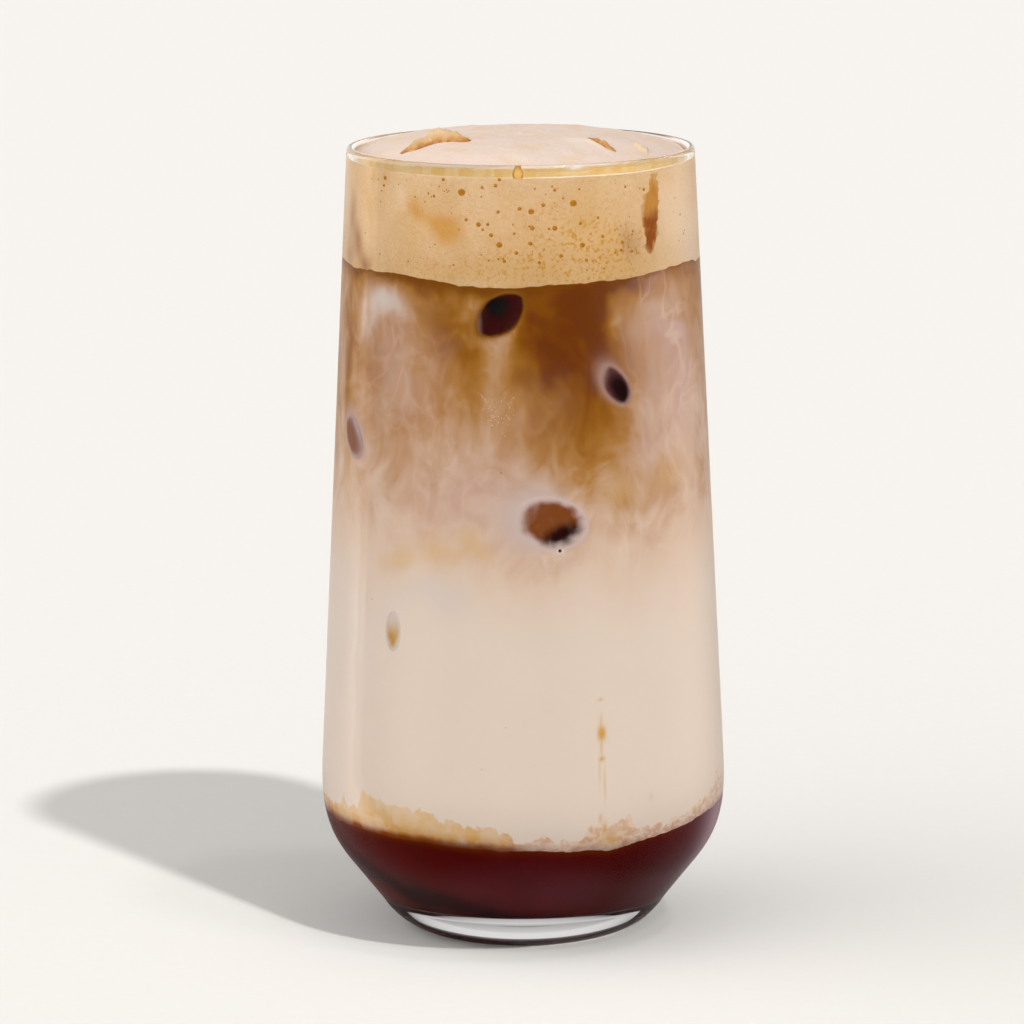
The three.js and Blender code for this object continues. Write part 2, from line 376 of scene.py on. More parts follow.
@dataclass(frozen=True)
class Section:
    """Section of the glass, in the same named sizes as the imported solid."""

    height: float = 150
    lip_radius: float = 32.74
    lip_thickness: float = 1.4
    lip_drop: float = 0.7
    belly: Point = (38.38, 33.5)
    cone_top: Point = (33.68, 14)
    heel: Point = (27.5, 6.2)
    heel_bulge: Point = (24.7, 1.7)
    foot_outer: float = 19.4
    foot_inner: float = 17
    punt_rise: float = 1.3
    outer_lean: Point = (7.1, 9)
    inner_lean: Point = (6.2, 8.6)
    belly_wall: float = 2.2
    cone_wall: float = 2.6
    floor: float = 8.2
    floor_radius: float = 22
    fillet_top: float = 10.5
    ring_round: float = 0.5
    curve_steps: int = 24
    lip_steps: int = 12
    punt_reach: float = 4
    corner_reach: float = 0.25

    def curve(self, *ends: Point) -> list[Point]:
        """Gives points of a curve that leans on its control points.

        Args:
            ends: start, one or two control points, and end.

        Returns:
            The points, with both ends.
        """
        degree = len(ends) - 1
        points = []
        for t in np.linspace(0, 1, self.curve_steps + 1).tolist():
            shares = [math.comb(degree, k) * t ** k * (1 - t) ** (degree - k) for k in range(degree + 1)]
            points.append(tuple(float(np.dot(shares, along)) for along in zip(*ends)))
        return points

    def straight(self, start: Point, end: Point) -> list[Point]:
        """Gives two points just inside a straight stretch, so that shading bends only at its corners.

        Args:
            start: first corner.
            end: last corner.

        Returns:
            The two points.
        """
        share = self.corner_reach / math.dist(start, end)
        run, rise = end[0] - start[0], end[1] - start[1]
        return [(start[0] + run * along, start[1] + rise * along) for along in (share, 1 - share)]

    def shoulder(self, foot: Point, top: Point, belly: Point, lip: Point, lean: Point) -> list[Point]:
        """Gives the cone, the shoulder that leans on it and on the taper, and the taper up to the lip."""
        bend = self.curve(top, beyond(foot, top, lean[0]), beyond(lip, belly, lean[1]), belly)
        return [*self.straight(foot, top), *bend, *self.straight(belly, lip), lip]

    def outer(self) -> list[Point]:
        """Gives the outside, from the middle of the punt up to the lip.

        Returns:
            Its (radius, height) points.
        """
        rim, ring = (self.foot_inner, 0), (self.foot_outer - self.ring_round, 0)
        corner = beyond(self.heel_bulge, (self.foot_outer, 0), -self.ring_round)
        lip = (self.lip_radius, self.height - self.lip_drop)
        return [
            *self.curve((0, self.punt_rise), (self.foot_inner - self.punt_reach, self.punt_rise), rim),
            *self.straight(rim, ring),
            *self.curve(ring, (self.foot_outer, 0), corner),
            *self.curve(corner, self.heel_bulge, self.heel),
            *self.shoulder(self.heel, self.cone_top, self.belly, lip, self.outer_lean),
        ]

    def lip(self) -> list[Point]:
        """Gives the rounded lip, from the outside to the inside, without its ends.

        Returns:
            Its (radius, height) points.
        """
        reach = self.lip_thickness / 2
        middle, bend = self.lip_radius - reach, self.height - self.lip_drop
        turns = [math.pi * i / self.lip_steps for i in range(1, self.lip_steps)]
        return [(middle + reach * math.cos(turn), bend + self.lip_drop * math.sin(turn)) for turn in turns]

    def inner(self) -> list[Point]:
        """Gives the hollow, from the middle of the floor up to the lip.

        Returns:
            Its (radius, height) points.
        """
        slope = (self.cone_top[0] - self.heel[0]) / (self.cone_top[1] - self.heel[1])
        length = math.hypot(1, slope)
        top = (self.cone_top[0] - self.cone_wall / length, self.cone_top[1] + self.cone_wall * slope / length)
        foot = (top[0] - slope * (top[1] - self.fillet_top), self.fillet_top)
        belly = (self.belly[0] - self.belly_wall, self.belly[1])
        lip = (self.lip_radius - self.lip_thickness, self.height - self.lip_drop)
        corner = (foot[0] - slope * (foot[1] - self.floor), self.floor)
        return [
            (0, self.floor),
            *self.curve((self.floor_radius, self.floor), corner, foot),
            *self.shoulder(foot, top, belly, lip, self.inner_lean),
        ]


def beyond(start: Point, through: Point, reach: float) -> Point:
    """Gives the point that lies a reach past the second point, on the line from the first."""
    share = reach / math.dist(start, through)
    return through[0] + (through[0] - start[0]) * share, through[1] + (through[1] - start[1]) * share


SECTION = Section()
WALL = [(level, radius) for radius, level in SECTION.inner()[1:]]

# How far each layer reaches into the glass, so that no air shows between them. Ice reaches a little further.
LAYER_BITE = 0.05
ICE_BITE = 0.1
# Gap between two layers of the drink
LAYER_GAP = 0.02
# Share of a layer's height taken by the thin ring that keeps its corners crisp
EDGE_SHARE = 0.0005


def wall_radius(height: Number) -> Number:
    """Gives the hollow's radius at a height."""
    return between(WALL, height)


# Surfaces between the layers, by azimuth in degrees and share of the wall's radius

SYRUP_LEVEL = 24
COFFEE_LEVEL = 129
# How sharply the ragged lines at the wall die away towards the middle
RAGGED_POWER = 8


def syrup_top(azimuth: np.ndarray, share: Number) -> np.ndarray:
    """Gives the height where the syrup ends and the milk starts.

    Args:
        azimuth: degrees to the right of the front.
        share: shares of the wall's radius.

    Returns:
        The heights in millimetres.
    """
    turn = np.radians(azimuth)
    dip = 1.5 * np.maximum(0, np.cos(turn)) ** 1.5 + 0.7 * np.exp(-((azimuth - 26) / 5) ** 2)
    sway = 0.55 * np.sin(turn) + 0.65 * np.sin(turn) ** 2 - 0.5 * np.sin(3 * turn)
    ragged = 0.28 * rough(around(azimuth, 0), 5, 3.1) + 0.12 * rough(around(azimuth, 0), 1.3, 8.2)
    return SYRUP_LEVEL + share * (sway - dip) + share ** RAGGED_POWER * ragged


def coffee_top(azimuth: np.ndarray, share: Number) -> np.ndarray:
    """Gives the height where the coffee ends and the foam starts.

    Args:
        azimuth: degrees to the right of the front.
        share: shares of the wall's radius.

    Returns:
        The heights in millimetres.
    """
    turn = np.radians(azimuth)
    dip = 1.4 * np.maximum(0, np.cos(turn)) ** 5
    ragged = 0.5 * rough(around(azimuth, 0), 6, 5.3) + 0.17 * rough(around(azimuth, 0), 1.9, 2.9)
    lace = 0.25 * smooth(5, -30, azimuth) * np.abs(rough(around(azimuth, 0), 2.4, 6.2))
    ripple = 0.25 * np.sin(7 * turn)
    return COFFEE_LEVEL + share * (ripple - dip) + share ** RAGGED_POWER * (ragged - lace)


@dataclass(frozen=True)
class Bump:
    """A soft hump on the foam's top: its middle, half sizes, rise and tilt in degrees."""

    x: float
    y: float
    half_x: float
    half_y: float
    rise: float
    tilt: float = 0

    def at(self, x: Number, y: Number) -> Number:
        """Gives the rise at a place.

        Args:
            x: millimetres to the right.
            y: millimetres to the back.

        Returns:
            The rise in millimetres.
        """
        turn = math.radians(self.tilt)
        along = (x - self.x) * math.cos(turn) + (y - self.y) * math.sin(turn)
        over = (y - self.y) * math.cos(turn) - (x - self.x) * math.sin(turn)
        return self.rise * np.exp(-(along / self.half_x) ** 2 - (over / self.half_y) ** 2)


FOAM_CONTACT = 147.15
FOAM_PEAK = 152.2
FOAM_SWELLS = (
    Bump(-15, -7, 9, 5, 0.5), Bump(14, -9, 8, 5, 0.6), Bump(13.5, -12.6, 3.6, 1.6, 0.5, -35),
    Bump(-6, 12, 10, 7, 0.3), Bump(16, 10, 8, 6, -0.3),
)


def foam_top(azimuth: np.ndarray, share: np.ndarray) -> np.ndarray:
    """Gives the foam's upper surface.

    Args:
        azimuth: degrees to the right of the front.
        share: shares of the wall's radius.

    Returns:
        The heights in millimetres.
    """
    turn = np.radians(azimuth)
    away = np.abs((azimuth + 180) % 360 - 180)
    contact = FOAM_CONTACT + 0.6 * smooth(35, 85, away) + 1.45 * smooth(80, 130, away)
    radius = share * wall_radius(FOAM_CONTACT)
    x, y = radius * np.sin(turn), -radius * np.cos(turn)
    fade = 1 - share ** 4
    flat = np.stack([x, y, 0 * x], axis=-1)
    relief = 0.2 * rough(flat, 9, 2.2) + 0.12 * rough(flat, 2.6, 6.1)
    meniscus = 0.4 * np.exp(-((1 - share) * radius / 0.5) ** 2)
    swells = sum(bump.at(x, y) for bump in FOAM_SWELLS)
    dome = (FOAM_PEAK - contact + swells) * fade
    return contact + dome + relief * np.minimum(1, 3 * fade) + meniscus


@dataclass(frozen=True)
class Places:
    """Where a layer's points lie: azimuths, shares of the wall's radius, and heights."""

    azimuth: np.ndarray
    share: np.ndarray
    height: np.ndarray


# Painted light on the milk's colour, standing in for light that milk carries inside where the lamps only
# graze it, and a little painted shade at the front: azimuth, half width and share of its brightness
MILK_PAINTED_LIGHT = ((-40, 15, 0.14), (-57, 9, 0.16), (64, 17, 0.15), (8, 14, -0.035))


def lifted(azimuth: np.ndarray) -> np.ndarray:
    """Gives the painted light on the milk: how much its colour is brightened where the lamps only graze it.
    """
    return 1 + sum(gain * np.exp(-((azimuth - middle) / width) ** 2) for middle, width, gain in MILK_PAINTED_LIGHT)


def drum(shares: Sequence[float], levels: Sequence[float], top_shares: Sequence[float], steps: int,
         low: Surface, high: Surface) -> tuple[Shell, Places]:
    """Fills the hollow between two surfaces.

    Args:
        shares: shares of the radius of the rings below, from 0 to 1.
        levels: shares of the height of the wall's rings, between 0 and 1.
        top_shares: shares of the radius of the rings above, from 0 to 1.
        steps: how many facets go round.
        low: height of the lower surface by azimuth and share.
        high: height of the upper surface by azimuth and share.

    Returns:
        The shell, and where its points lie.
    """
    levels = [EDGE_SHARE, *levels, 1 - EDGE_SHARE]
    outline = [(share, 0) for share in shares] + [(1, level) for level in levels]
    outline += [(share, 1) for share in reversed(top_shares)]
    shell = spun(outline, steps, 1.0)
    x, y, z = np.array([point.co for point in shell.verts]).T
    azimuth, share = np.degrees(np.arctan2(x, -y)), np.minimum(1, np.hypot(x, y))
    bottom = low(azimuth, share)
    height = bottom + z * (high(azimuth, share) - bottom)
    radius = wall_radius(height + LAYER_BITE) + LAYER_BITE
    for point, reach, level in zip(shell.verts, radius, height):
        point.co = Vector((point.co.x * reach, point.co.y * reach, level)) * MM
    return shell, Places(azimuth, share, height)


# Soft patches on the wall

@dataclass(frozen=True)
class Patch:
    """A soft patch on the wall: middle, half sizes in millimetres, strength, tilt in degrees, and form."""

    azimuth: float
    height: float
    half_width: float
    half_height: float
    strength: float = 1
    tilt: float = 0
    power: float = 2
    edge: float = 2

    def local(self, azimuth: Number, height: Number) -> tuple[Number, Number]:
        """Gives places in the patch's own turned axes, in half sizes.

        Args:
            azimuth: degrees to the right of the front.
            height: heights in millimetres.

        Returns:
            How far the places lie along the patch and over it.
        """
        across = np.radians((azimuth - self.azimuth + 180) % 360 - 180) * wall_radius(self.height)
        up = height - self.height
        turn = math.radians(self.tilt)
        along = across * math.cos(turn) + up * math.sin(turn)
        over = up * math.cos(turn) - across * math.sin(turn)
        return along / self.half_width, over / self.half_height

    def away(self, azimuth: Number, height: Number) -> Number:
        """Gives how far out places lie: 0 in the middle and 1 on the patch's edge."""
        along, over = self.local(azimuth, height)
        return (np.abs(along) ** self.power + np.abs(over) ** self.power) ** (1 / self.power)

    def at(self, azimuth: Number, height: Number) -> Number:
        """Gives the patch's strength at places, fading like a bell, or sooner where its edge is larger."""
        return self.strength * np.exp(-self.away(azimuth, height) ** self.edge)


def summed(patches: Sequence[Patch], azimuth: Number, height: Number) -> Number:
    """Adds up patches at places on the wall."""
    return sum(patch.at(azimuth, height) for patch in patches)


# Currents carry things a little further upwards than sideways
DRIFT_RISE = 1.3


def drifted(azimuth: np.ndarray, height: np.ndarray, reach: float, seed: float,
            period: float = 11) -> tuple[np.ndarray, np.ndarray]:
    """Moves places on the wall as slow currents would.

    Args:
        azimuth: degrees to the right of the front.
        height: heights above the table.
        reach: how far the places are moved at most, in millimetres.
        seed: number that tells one current from another.
        period: size of the currents in millimetres.

    Returns:
        The moved azimuths and heights.
    """
    points = around(azimuth, 0.6 * height)
    across, up = rough(points, period, seed), rough(points, period, seed + 17)
    return azimuth + np.degrees(reach * across / MEAN_RADIUS), height + DRIFT_RISE * reach * up


# Finishes

@dataclass(frozen=True)
class Finish:
    """A finish, named for its real material and making, with how blurred and how strong its shine is."""

    name: str
    roughness: float
    shine: float = 0.0

    def colour(self, tree: Tree) -> Socket:
        """Gives the colour at each place, which every finish works out for itself."""
        raise NotImplementedError

    def surface(self, tree: Tree) -> Socket:
        """Gives the shader of the surface."""
        return add(tree, Kind.BODY, self.roughness, self.shine, self.colour(tree))

    def material(self) -> bpy.types.Material:
        """Makes the material.

        Returns:
            The material, with its surface wired to its output.
        """
        material = bpy.data.materials.new(self.name)
        material.use_nodes = True
        tree = material.node_tree
        tree.nodes.clear()
        add(tree, Kind.SURFACE, self.surface(tree))
        return material


@dataclass(frozen=True)
class PressedGlass(Finish):
    """Clear soda-lime glass, pressed and fire polished: bright edges, and hardly any shine face on."""

    name: str = "soda_lime_glass_fire_polished"
    roughness: float = 0.003
    shine: float = 0.5
    tone: str = "#FDFEFD"
    shadow: str = "#F7F8F7"
    ior: float = 1.45
    smear_size: float = 22
    entering: float = 0.3
    tint: float = 0.08

    def surface(self, tree: Tree) -> Socket:
        """Gives glass that mirrors little where light enters, all where it leaves, and lets lamps through.

        Args:
            tree: node tree that takes the nodes.

        Returns:
            The shader's output.
        """
        smears = add(tree, Kind.NOISE, place(tree), 1 / self.smear_size, 3)
        blurred = add(tree, Kind.EASE, smears, 0.4, 0.7, 0.0, self.roughness)
        lip = add(tree, Kind.NOTE, attribute_name="lip")
        tint = add(tree, Kind.MIX, lip, (self.tint, self.tint, self.tint, 1), (1, 1, 1, 1))
        glass = add(tree, Kind.GLASS, blurred, self.shine, linear(self.tone), tint, self.ior, 1.0)
        bent = add(tree, Kind.BENT, linear(self.tone), self.ior)
        mirrors = add(tree, Kind.EASE, add(tree, Kind.LEAVING), 0.0, 1.0, self.entering, 1.0)
        body = add(tree, Kind.BLEND, add(tree, Kind.LARGER, mirrors, lip), bent, glass)
        clear = add(tree, Kind.CLEAR, linear(self.shadow))
        return add(tree, Kind.BLEND, add(tree, Kind.SHADOW), body, clear)


@dataclass(frozen=True)
class MarbledLatte(Finish):
    """Milk and coffee behind the wall: smooth beige below, silky billows of milk in brown coffee above."""

    name: str = "milk_and_coffee_marbled"
    roughness: float = 0.55
    coffees: Tones = (
        (0.0, "#DCC8B7"), (0.12, "#D6B9A2"), (0.26, "#C9A68C"), (0.40, "#B98F6A"), (0.55, "#A67238"),
        (0.72, "#8E5816"), (0.88, "#7B4408"), (1.0, "#683306"),
    )
    ambers: Tones = (
        (0.0, "#54200A"), (0.08, "#84480F"), (0.2, "#BB843E"), (0.36, "#D1A368"), (1.0, "#DAB88E"),
    )
    amber_depth: float = 8.0
    veil: str = "#BD9A8C"
    wisp: str = "#D8BCA6"
    washes: Washes = (("ochre", "#CDA672"), ("haze", "#CBC2BC"), ("crust", "#70400F"))
    blushes: tuple[str, str] = ("#DEC3B2", "#C79C84")
    soaked: str = "#6A3008"
    drip: str = "#C4923F"

    def marbled(self, tree: Tree) -> Socket:
        """Gives coffee and milk as currents fold them into each other.

        Args:
            tree: node tree that takes the nodes.

        Returns:
            The colour's output.
        """
        coffee, lilac = (add(tree, Kind.NOTE, attribute_name=note) for note in ("coffee", "lilac"))
        lively = add(tree, Kind.EASE, coffee, 0.02, 0.3)
        slow = stirred(tree, place(tree, 1.3), 17, 15)
        quickly = stirred(tree, slow, 6, 4.5)
        billows = add(tree, Kind.NOISE, slow, 1 / 8, 3, 0.6)
        silk = add(tree, Kind.NOISE, quickly, 1 / 3.6, 4, 0.4)
        strands = add(tree, Kind.NOISE, place(tree, 4), 1 / 2.4, 2, 0.6)
        change = swing(tree, add(tree, Kind.NOISE, slow, 1 / 15, 2, 0.4), 0.26)
        for pattern, size in ((billows, 0.42), (silk, 0.42), (strands, 0.06)):
            change = add(tree, Kind.ADD, change, swing(tree, pattern, size))
        strength = add(tree, Kind.ADD, coffee, add(tree, Kind.MULTIPLY, change, lively), use_clamp=True)
        body = add(tree, Kind.RAMP, strength, stops=painted(self.coffees))
        folds = add(tree, Kind.EASE, billows, 0.36, 0.62, 0.55, 1.15)
        veil = add(tree, Kind.MULTIPLY, lilac, folds, use_clamp=True)
        veiled = add(tree, Kind.MIX, veil, body, behind_wall(self.veil))
        lines = crossing(tree, add(tree, Kind.NOISE, slow, 1 / 9, 2, 0.5), 0.045)
        wisps = add(tree, Kind.MULTIPLY, lines, add(tree, Kind.MULTIPLY, lilac, 0.38))
        return add(tree, Kind.MIX, add(tree, Kind.MULTIPLY, wisps, lively), veiled, behind_wall(self.wisp))

    def stained(self, tree: Tree, drink: Socket) -> Socket:
        """Gives the ragged band of caramel and pink milk that creeps up from the syrup.

        Args:
            tree: node tree that takes the nodes.
            drink: colour of the drink under it.

        Returns:
            The colour's output.
        """
        above, stain, caramel = (add(tree, Kind.NOTE, attribute_name=note)
                                 for note in ("above_syrup", "stain", "caramel"))
        fray = swing(tree, add(tree, Kind.NOISE, place(tree, 1.2), 1 / 2.4, 6), 5.5)
        band = add(tree, Kind.EASE, add(tree, Kind.ADD, stain, fray), -0.3, 0.3)
        depth = add(tree, Kind.DIVIDE, above, self.amber_depth)
        amber = add(tree, Kind.RAMP, depth, stops=painted(self.ambers))
        crinkle = add(tree, Kind.EASE, add(tree, Kind.NOISE, place(tree, 0.7), 1 / 1.7, 6, 0.6), 0.4, 0.6)
        blush = add(tree, Kind.MIX, crinkle, *(behind_wall(code) for code in self.blushes))
        clots = add(tree, Kind.NOISE, place(tree), 1 / 5, 5, 0.5)
        patchy = add(tree, Kind.EASE, clots, 0.36, 0.62, 0.62, 1.0)
        creeping = add(tree, Kind.MIX, caramel, blush, amber)
        stained = add(tree, Kind.MIX, add(tree, Kind.MULTIPLY, band, patchy), drink, creeping)
        near = add(tree, Kind.MULTIPLY, add(tree, Kind.EASE, above, 0.0, 1.6, 0.95, 0.0), caramel)
        return add(tree, Kind.MIX, near, stained, behind_wall(self.soaked))

    def colour(self, tree: Tree) -> Socket:
        """Gives the drink's colour.

        Args:
            tree: node tree that takes the nodes.

        Returns:
            The colour's output.
        """
        drink = self.stained(tree, washed(tree, self.marbled(tree), self.washes))
        dripped = washed(tree, drink, (("drip", self.drip),))
        ice = add(tree, Kind.NOTE, attribute_name="ice_halo").node.outputs
        return with_painted_light(tree, add(tree, Kind.MIX, ice["Alpha"], dripped, ice["Color"]))


@dataclass(frozen=True)
class DarkSyrup(Finish):
    """Thick red-brown syrup: nearly black in depth, warmer at its top, with tiny bright specks."""

    name: str = "dark_syrup_still"
    roughness: float = 0.4
    depths: Tones = ((0.0, "#5A2410"), (0.1, "#4A1408"), (0.35, "#4A100C"), (1.0, "#561A18"))
    cloud: str = "#3C0A08"
    # Painted light: shade is painted shade on the syrup's left and lower side; sheen and glimmer are painted
    # reflections of the pale floor on its right
    washes: Washes = (("painted_shade", "#2A0201"), ("painted_sheen", "#602A30"), ("painted_glimmer", "#B48C98"))
    speck: str = "#A8542A"
    speck_spacing: float = 2.6
    mirror: str = "#F4F0F2"
    mirror_ior: float = 0.98

    def colour(self, tree: Tree) -> Socket:
        """Gives the syrup's colour, with its clouds and specks.

        Args:
            tree: node tree that takes the nodes.

        Returns:
            The colour's output.
        """
        spot = place(tree)
        depth = add(tree, Kind.NOTE, attribute_name="depth")
        body = add(tree, Kind.RAMP, depth, stops=painted(self.depths))
        clouds = add(tree, Kind.EASE, add(tree, Kind.NOISE, spot, 1 / 9, 4, 0.8), 0.4, 0.65, 0.0, 0.3)
        cloudy = add(tree, Kind.MIX, clouds, body, behind_wall(self.cloud))
        cells = add(tree, Kind.CELLS, spot, 1 / self.speck_spacing, 1.0)
        specks = add(tree, Kind.EASE, cells, 0.025, 0.055, 1.0, 0.0)
        some = add(tree, Kind.EASE, add(tree, Kind.NOISE, spot, 1 / 5, 3), 0.5, 0.6, 0.0, 0.8)
        shown = add(tree, Kind.MULTIPLY, specks, some)
        return add(tree, Kind.MIX, shown, washed(tree, cloudy, self.washes), behind_wall(self.speck))

    def surface(self, tree: Tree) -> Socket:
        """Gives syrup whose underside mirrors at a graze, as its floor of glass does.

        Args:
            tree: node tree that takes the nodes.

        Returns:
            The shader's output.
        """
        upwards = add(tree, Kind.UPWARDS, add(tree, Kind.FACING))
        under = add(tree, Kind.EASE, add(tree, Kind.MULTIPLY, upwards, -1.0), 0.7, 0.9)
        share = add(tree, Kind.MULTIPLY, under, add(tree, Kind.GRAZING, self.mirror_ior))
        mirror = add(tree, Kind.MIRROR, linear(self.mirror), 0.0)
        return add(tree, Kind.BLEND, share, super().surface(tree), mirror)


@dataclass(frozen=True)
class ColdFoam(Finish):
    """Whipped cold foam: tan and golden against the wall, pinkish cream on top, with fine open bubbles."""

    name: str = "cold_foam_whipped"
    roughness: float = 0.6
    shine: float = 0.12
    tans: tuple[str, str] = ("#DEB689", "#D7AD7B")
    froth: str = "#CB9B64"
    golds: tuple[str, str] = ("#D3A25C", "#C48A2C")
    # glow is a painted highlight where ice near the wall shows through the foam
    washes: Washes = (("glow", "#E6C59A"), ("amber", "#CE954C"), ("blush", "#E1C6AA"), ("streak", "#9C6A45"))
    creams: tuple[str, str] = ("#F0DACB", "#F0D0AA")
    pore: str = "#B9813F"
    pore_spacing: float = 0.6
    bubble_size: float = 0.9
    bubble_depth: float = 0.15

    def pores(self, tree: Tree) -> Socket:
        """Gives the fine open bubbles as dots."""
        cells = add(tree, Kind.CELLS, place(tree), 1 / self.pore_spacing, 1.0)
        return add(tree, Kind.EASE, cells, 0.1, 0.26, 1.0, 0.0)

    def colour(self, tree: Tree) -> Socket:
        """Gives the foam's colour, against the wall and on top.

        Args:
            tree: node tree that takes the nodes.

        Returns:
            The colour's output.
        """
        spot = place(tree)
        clouds = add(tree, Kind.EASE, add(tree, Kind.NOISE, spot, 1 / 9, 4), 0.4, 0.62)
        tan = add(tree, Kind.MIX, clouds, *(behind_wall(code) for code in self.tans))
        froth = add(tree, Kind.EASE, add(tree, Kind.NOISE, spot, 1 / 0.55, 3, 0.3), 0.42, 0.62, 0.0, 0.3)
        frothy = add(tree, Kind.MIX, froth, tan, behind_wall(self.froth))
        golden = add(tree, Kind.NOTE, attribute_name="golden")
        mottle = add(tree, Kind.EASE, add(tree, Kind.NOISE, spot, 1 / 0.7, 6, 0.2), 0.5, 0.66, 0.0, 0.9)
        tint = add(tree, Kind.MULTIPLY, golden, 0.45)
        tinted = add(tree, Kind.MIX, tint, frothy, behind_wall(self.golds[0]))
        grains = add(tree, Kind.MULTIPLY, golden, mottle, use_clamp=True)
        wall = add(tree, Kind.MIX, grains, tinted, behind_wall(self.golds[1]))
        flush = add(tree, Kind.EASE, add(tree, Kind.NOISE, spot, 1 / 6, 5, 0.5), 0.5, 0.66, 0.0, 0.5)
        top = add(tree, Kind.MIX, flush, *(in_open(code) for code in self.creams))
        uncovered = add(tree, Kind.NOTE, attribute_name="open")
        crown = add(tree, Kind.MIX, uncovered, with_painted_light(tree, washed(tree, wall, self.washes)), top)
        few = add(tree, Kind.EASE, add(tree, Kind.NOISE, spot, 1 / 2.3, 2), 0.46, 0.6, 0.05, 0.42)
        pitted = add(tree, Kind.MULTIPLY, self.pores(tree), few)
        return add(tree, Kind.MIX, pitted, crown, behind_wall(self.pore))

    def surface(self, tree: Tree) -> Socket:
        """Gives foam with the relief of its bubbles.

        Args:
            tree: node tree that takes the nodes.

        Returns:
            The shader's output.
        """
        swells = add(tree, Kind.NOISE, place(tree), 1 / self.bubble_size, 5)
        height = add(tree, Kind.SUBTRACT, swells, add(tree, Kind.MULTIPLY, self.pores(tree), 0.5))
        relief = add(tree, Kind.RELIEF, height, self.bubble_depth * MM, 0.6)
        return add(tree, Kind.BODY, self.roughness, self.shine, self.colour(tree), relief)


@dataclass(frozen=True)
class MeltingIce(Finish):
    """Melting ice in coffee: deep where it touches the glass, with a film of milk over one side."""

    roughness: float = 0.25
    deep: str = "#050000"
    glow: str = "#330604"
    film: str = "#7C5E52"
    halo: str = "#C9B2A6"

    def colour(self, tree: Tree) -> Socket:
        """Gives the ice's colour, with the drink's at the window's edge.

        Args:
            tree: node tree that takes the nodes.

        Returns:
            The colour's output.
        """
        glow, wispy, film, rim = (add(tree, Kind.NOTE, attribute_name=note)
                                  for note in ("glow", "wispy", "film", "rim"))
        cloud = swing(tree, add(tree, Kind.NOISE, place(tree), 1 / 4, 3, 0.8), 0.25)
        lit = add(tree, Kind.ADD, glow, cloud, use_clamp=True)
        inside = add(tree, Kind.MIX, lit, behind_wall(self.deep), behind_wall(self.glow))
        wisps = swing(tree, add(tree, Kind.NOISE, place(tree, 1.3), 1 / 3.6, 3, 2.4), wispy)
        cover = add(tree, Kind.ADD, film, wisps, use_clamp=True)
        filmed = add(tree, Kind.MIX, cover, inside, behind_wall(self.film))
        return add(tree, Kind.MIX, rim, filmed, behind_wall(self.halo))


@dataclass(frozen=True)
class RisenIce(Finish):
    """Wet ice that stands up through the foam: amber at its foot, partly painted shade under its folds, cream
    at its crest, brown on the wall.
    """

    name: str = "ice_wet_in_foam"
    roughness: float = 0.28
    shine: float = 0.08
    # the darkest brown at the foot is partly coffee on the ice and partly painted shade under its folds
    heights: Tones = ((0.0, "#A8652C"), (0.18, "#C58640"), (0.45, "#DAAC74"), (1.0, "#EACBA4"))
    full_height: float = 1.8
    vein: str = "#E4C091"
    pale: str = "#EED4B4"
    crags: tuple[str, str] = ("#8A4400", "#C08238")
    rim: str = "#C79A62"

    def colour(self, tree: Tree) -> Socket:
        """Gives the ice's colour, above the foam and where it presses on the wall.

        Args:
            tree: node tree that takes the nodes.

        Returns:
            The colour's output.
        """
        proud, upper, pressed = (add(tree, Kind.NOTE, attribute_name=note)
                                 for note in ("proud", "upper", "pressed"))
        height = add(tree, Kind.DIVIDE, proud, self.full_height)
        body = add(tree, Kind.RAMP, height, stops=painted(self.heights, in_open))
        cracks = add(tree, Kind.NOISE, place(tree), 1 / 2.2, 5, 1.0)
        veins = add(tree, Kind.EASE, cracks, 0.42, 0.62, 0.0, 0.5)
        crest = add(tree, Kind.MIX, veins, body, in_open(self.vein))
        grain = swing(tree, add(tree, Kind.NOISE, place(tree, 1.6), 1 / 1.6, 6, 0.8), 1.6)
        crags = add(tree, Kind.ADD, upper, grain, use_clamp=True)
        against = add(tree, Kind.MIX, crags, *(behind_wall(code) for code in self.crags))
        rimmed = washed(tree, against, (("rim", self.rim),))
        return add(tree, Kind.MIX, pressed, washed(tree, crest, (("pale", self.pale),), in_open), rimmed)


@dataclass(frozen=True)
class DriedResidue(Finish):
    """Thin film of foam on the inside of the glass: ochre, in faint upright streaks, and a little clear."""

    name: str = "foam_film_on_glass"
    roughness: float = 0.5
    ochres: tuple[str, str] = ("#DCB47A", "#CEA05C")
    # side pales the film at its sides; line is a painted highlight along the foam's edge
    washes: Washes = (("side", "#E8D2BC"), ("painted_highlight_line", "#F8ECDE"))
    # crest is a painted highlight on the lip, near white
    crest: str = "#F6EAE8"
    streak_width: float = 1.8
    streak_rise: float = 9

    def streaks(self, tree: Tree) -> Socket:
        """Gives upright streaks."""
        return add(tree, Kind.NOISE, place(tree, self.streak_rise), 1 / self.streak_width, 4)

    def colour(self, tree: Tree) -> Socket:
        """Gives the film's colour, paler at its sides, with painted highlights along the foam's edge and on
        the lip.

        Args:
            tree: node tree that takes the nodes.

        Returns:
            The colour's output.
        """
        share = add(tree, Kind.EASE, self.streaks(tree), 0.4, 0.62)
        hue = add(tree, Kind.MIX, share, *(behind_wall(code) for code in self.ochres))
        return washed(tree, washed(tree, hue, self.washes), (("crest", self.crest),), linear)

    def surface(self, tree: Tree) -> Socket:
        """Gives a film that covers only in part.

        Args:
            tree: node tree that takes the nodes.

        Returns:
            The shader's output.
        """
        cover = add(tree, Kind.NOTE, attribute_name="cover")
        thick = add(tree, Kind.EASE, self.streaks(tree), 0.38, 0.62, 0.88, 1.0)
        streaky = add(tree, Kind.MULTIPLY, cover, thick)
        return add(tree, Kind.BLEND, streaky, add(tree, Kind.CLEAR), super().surface(tree))


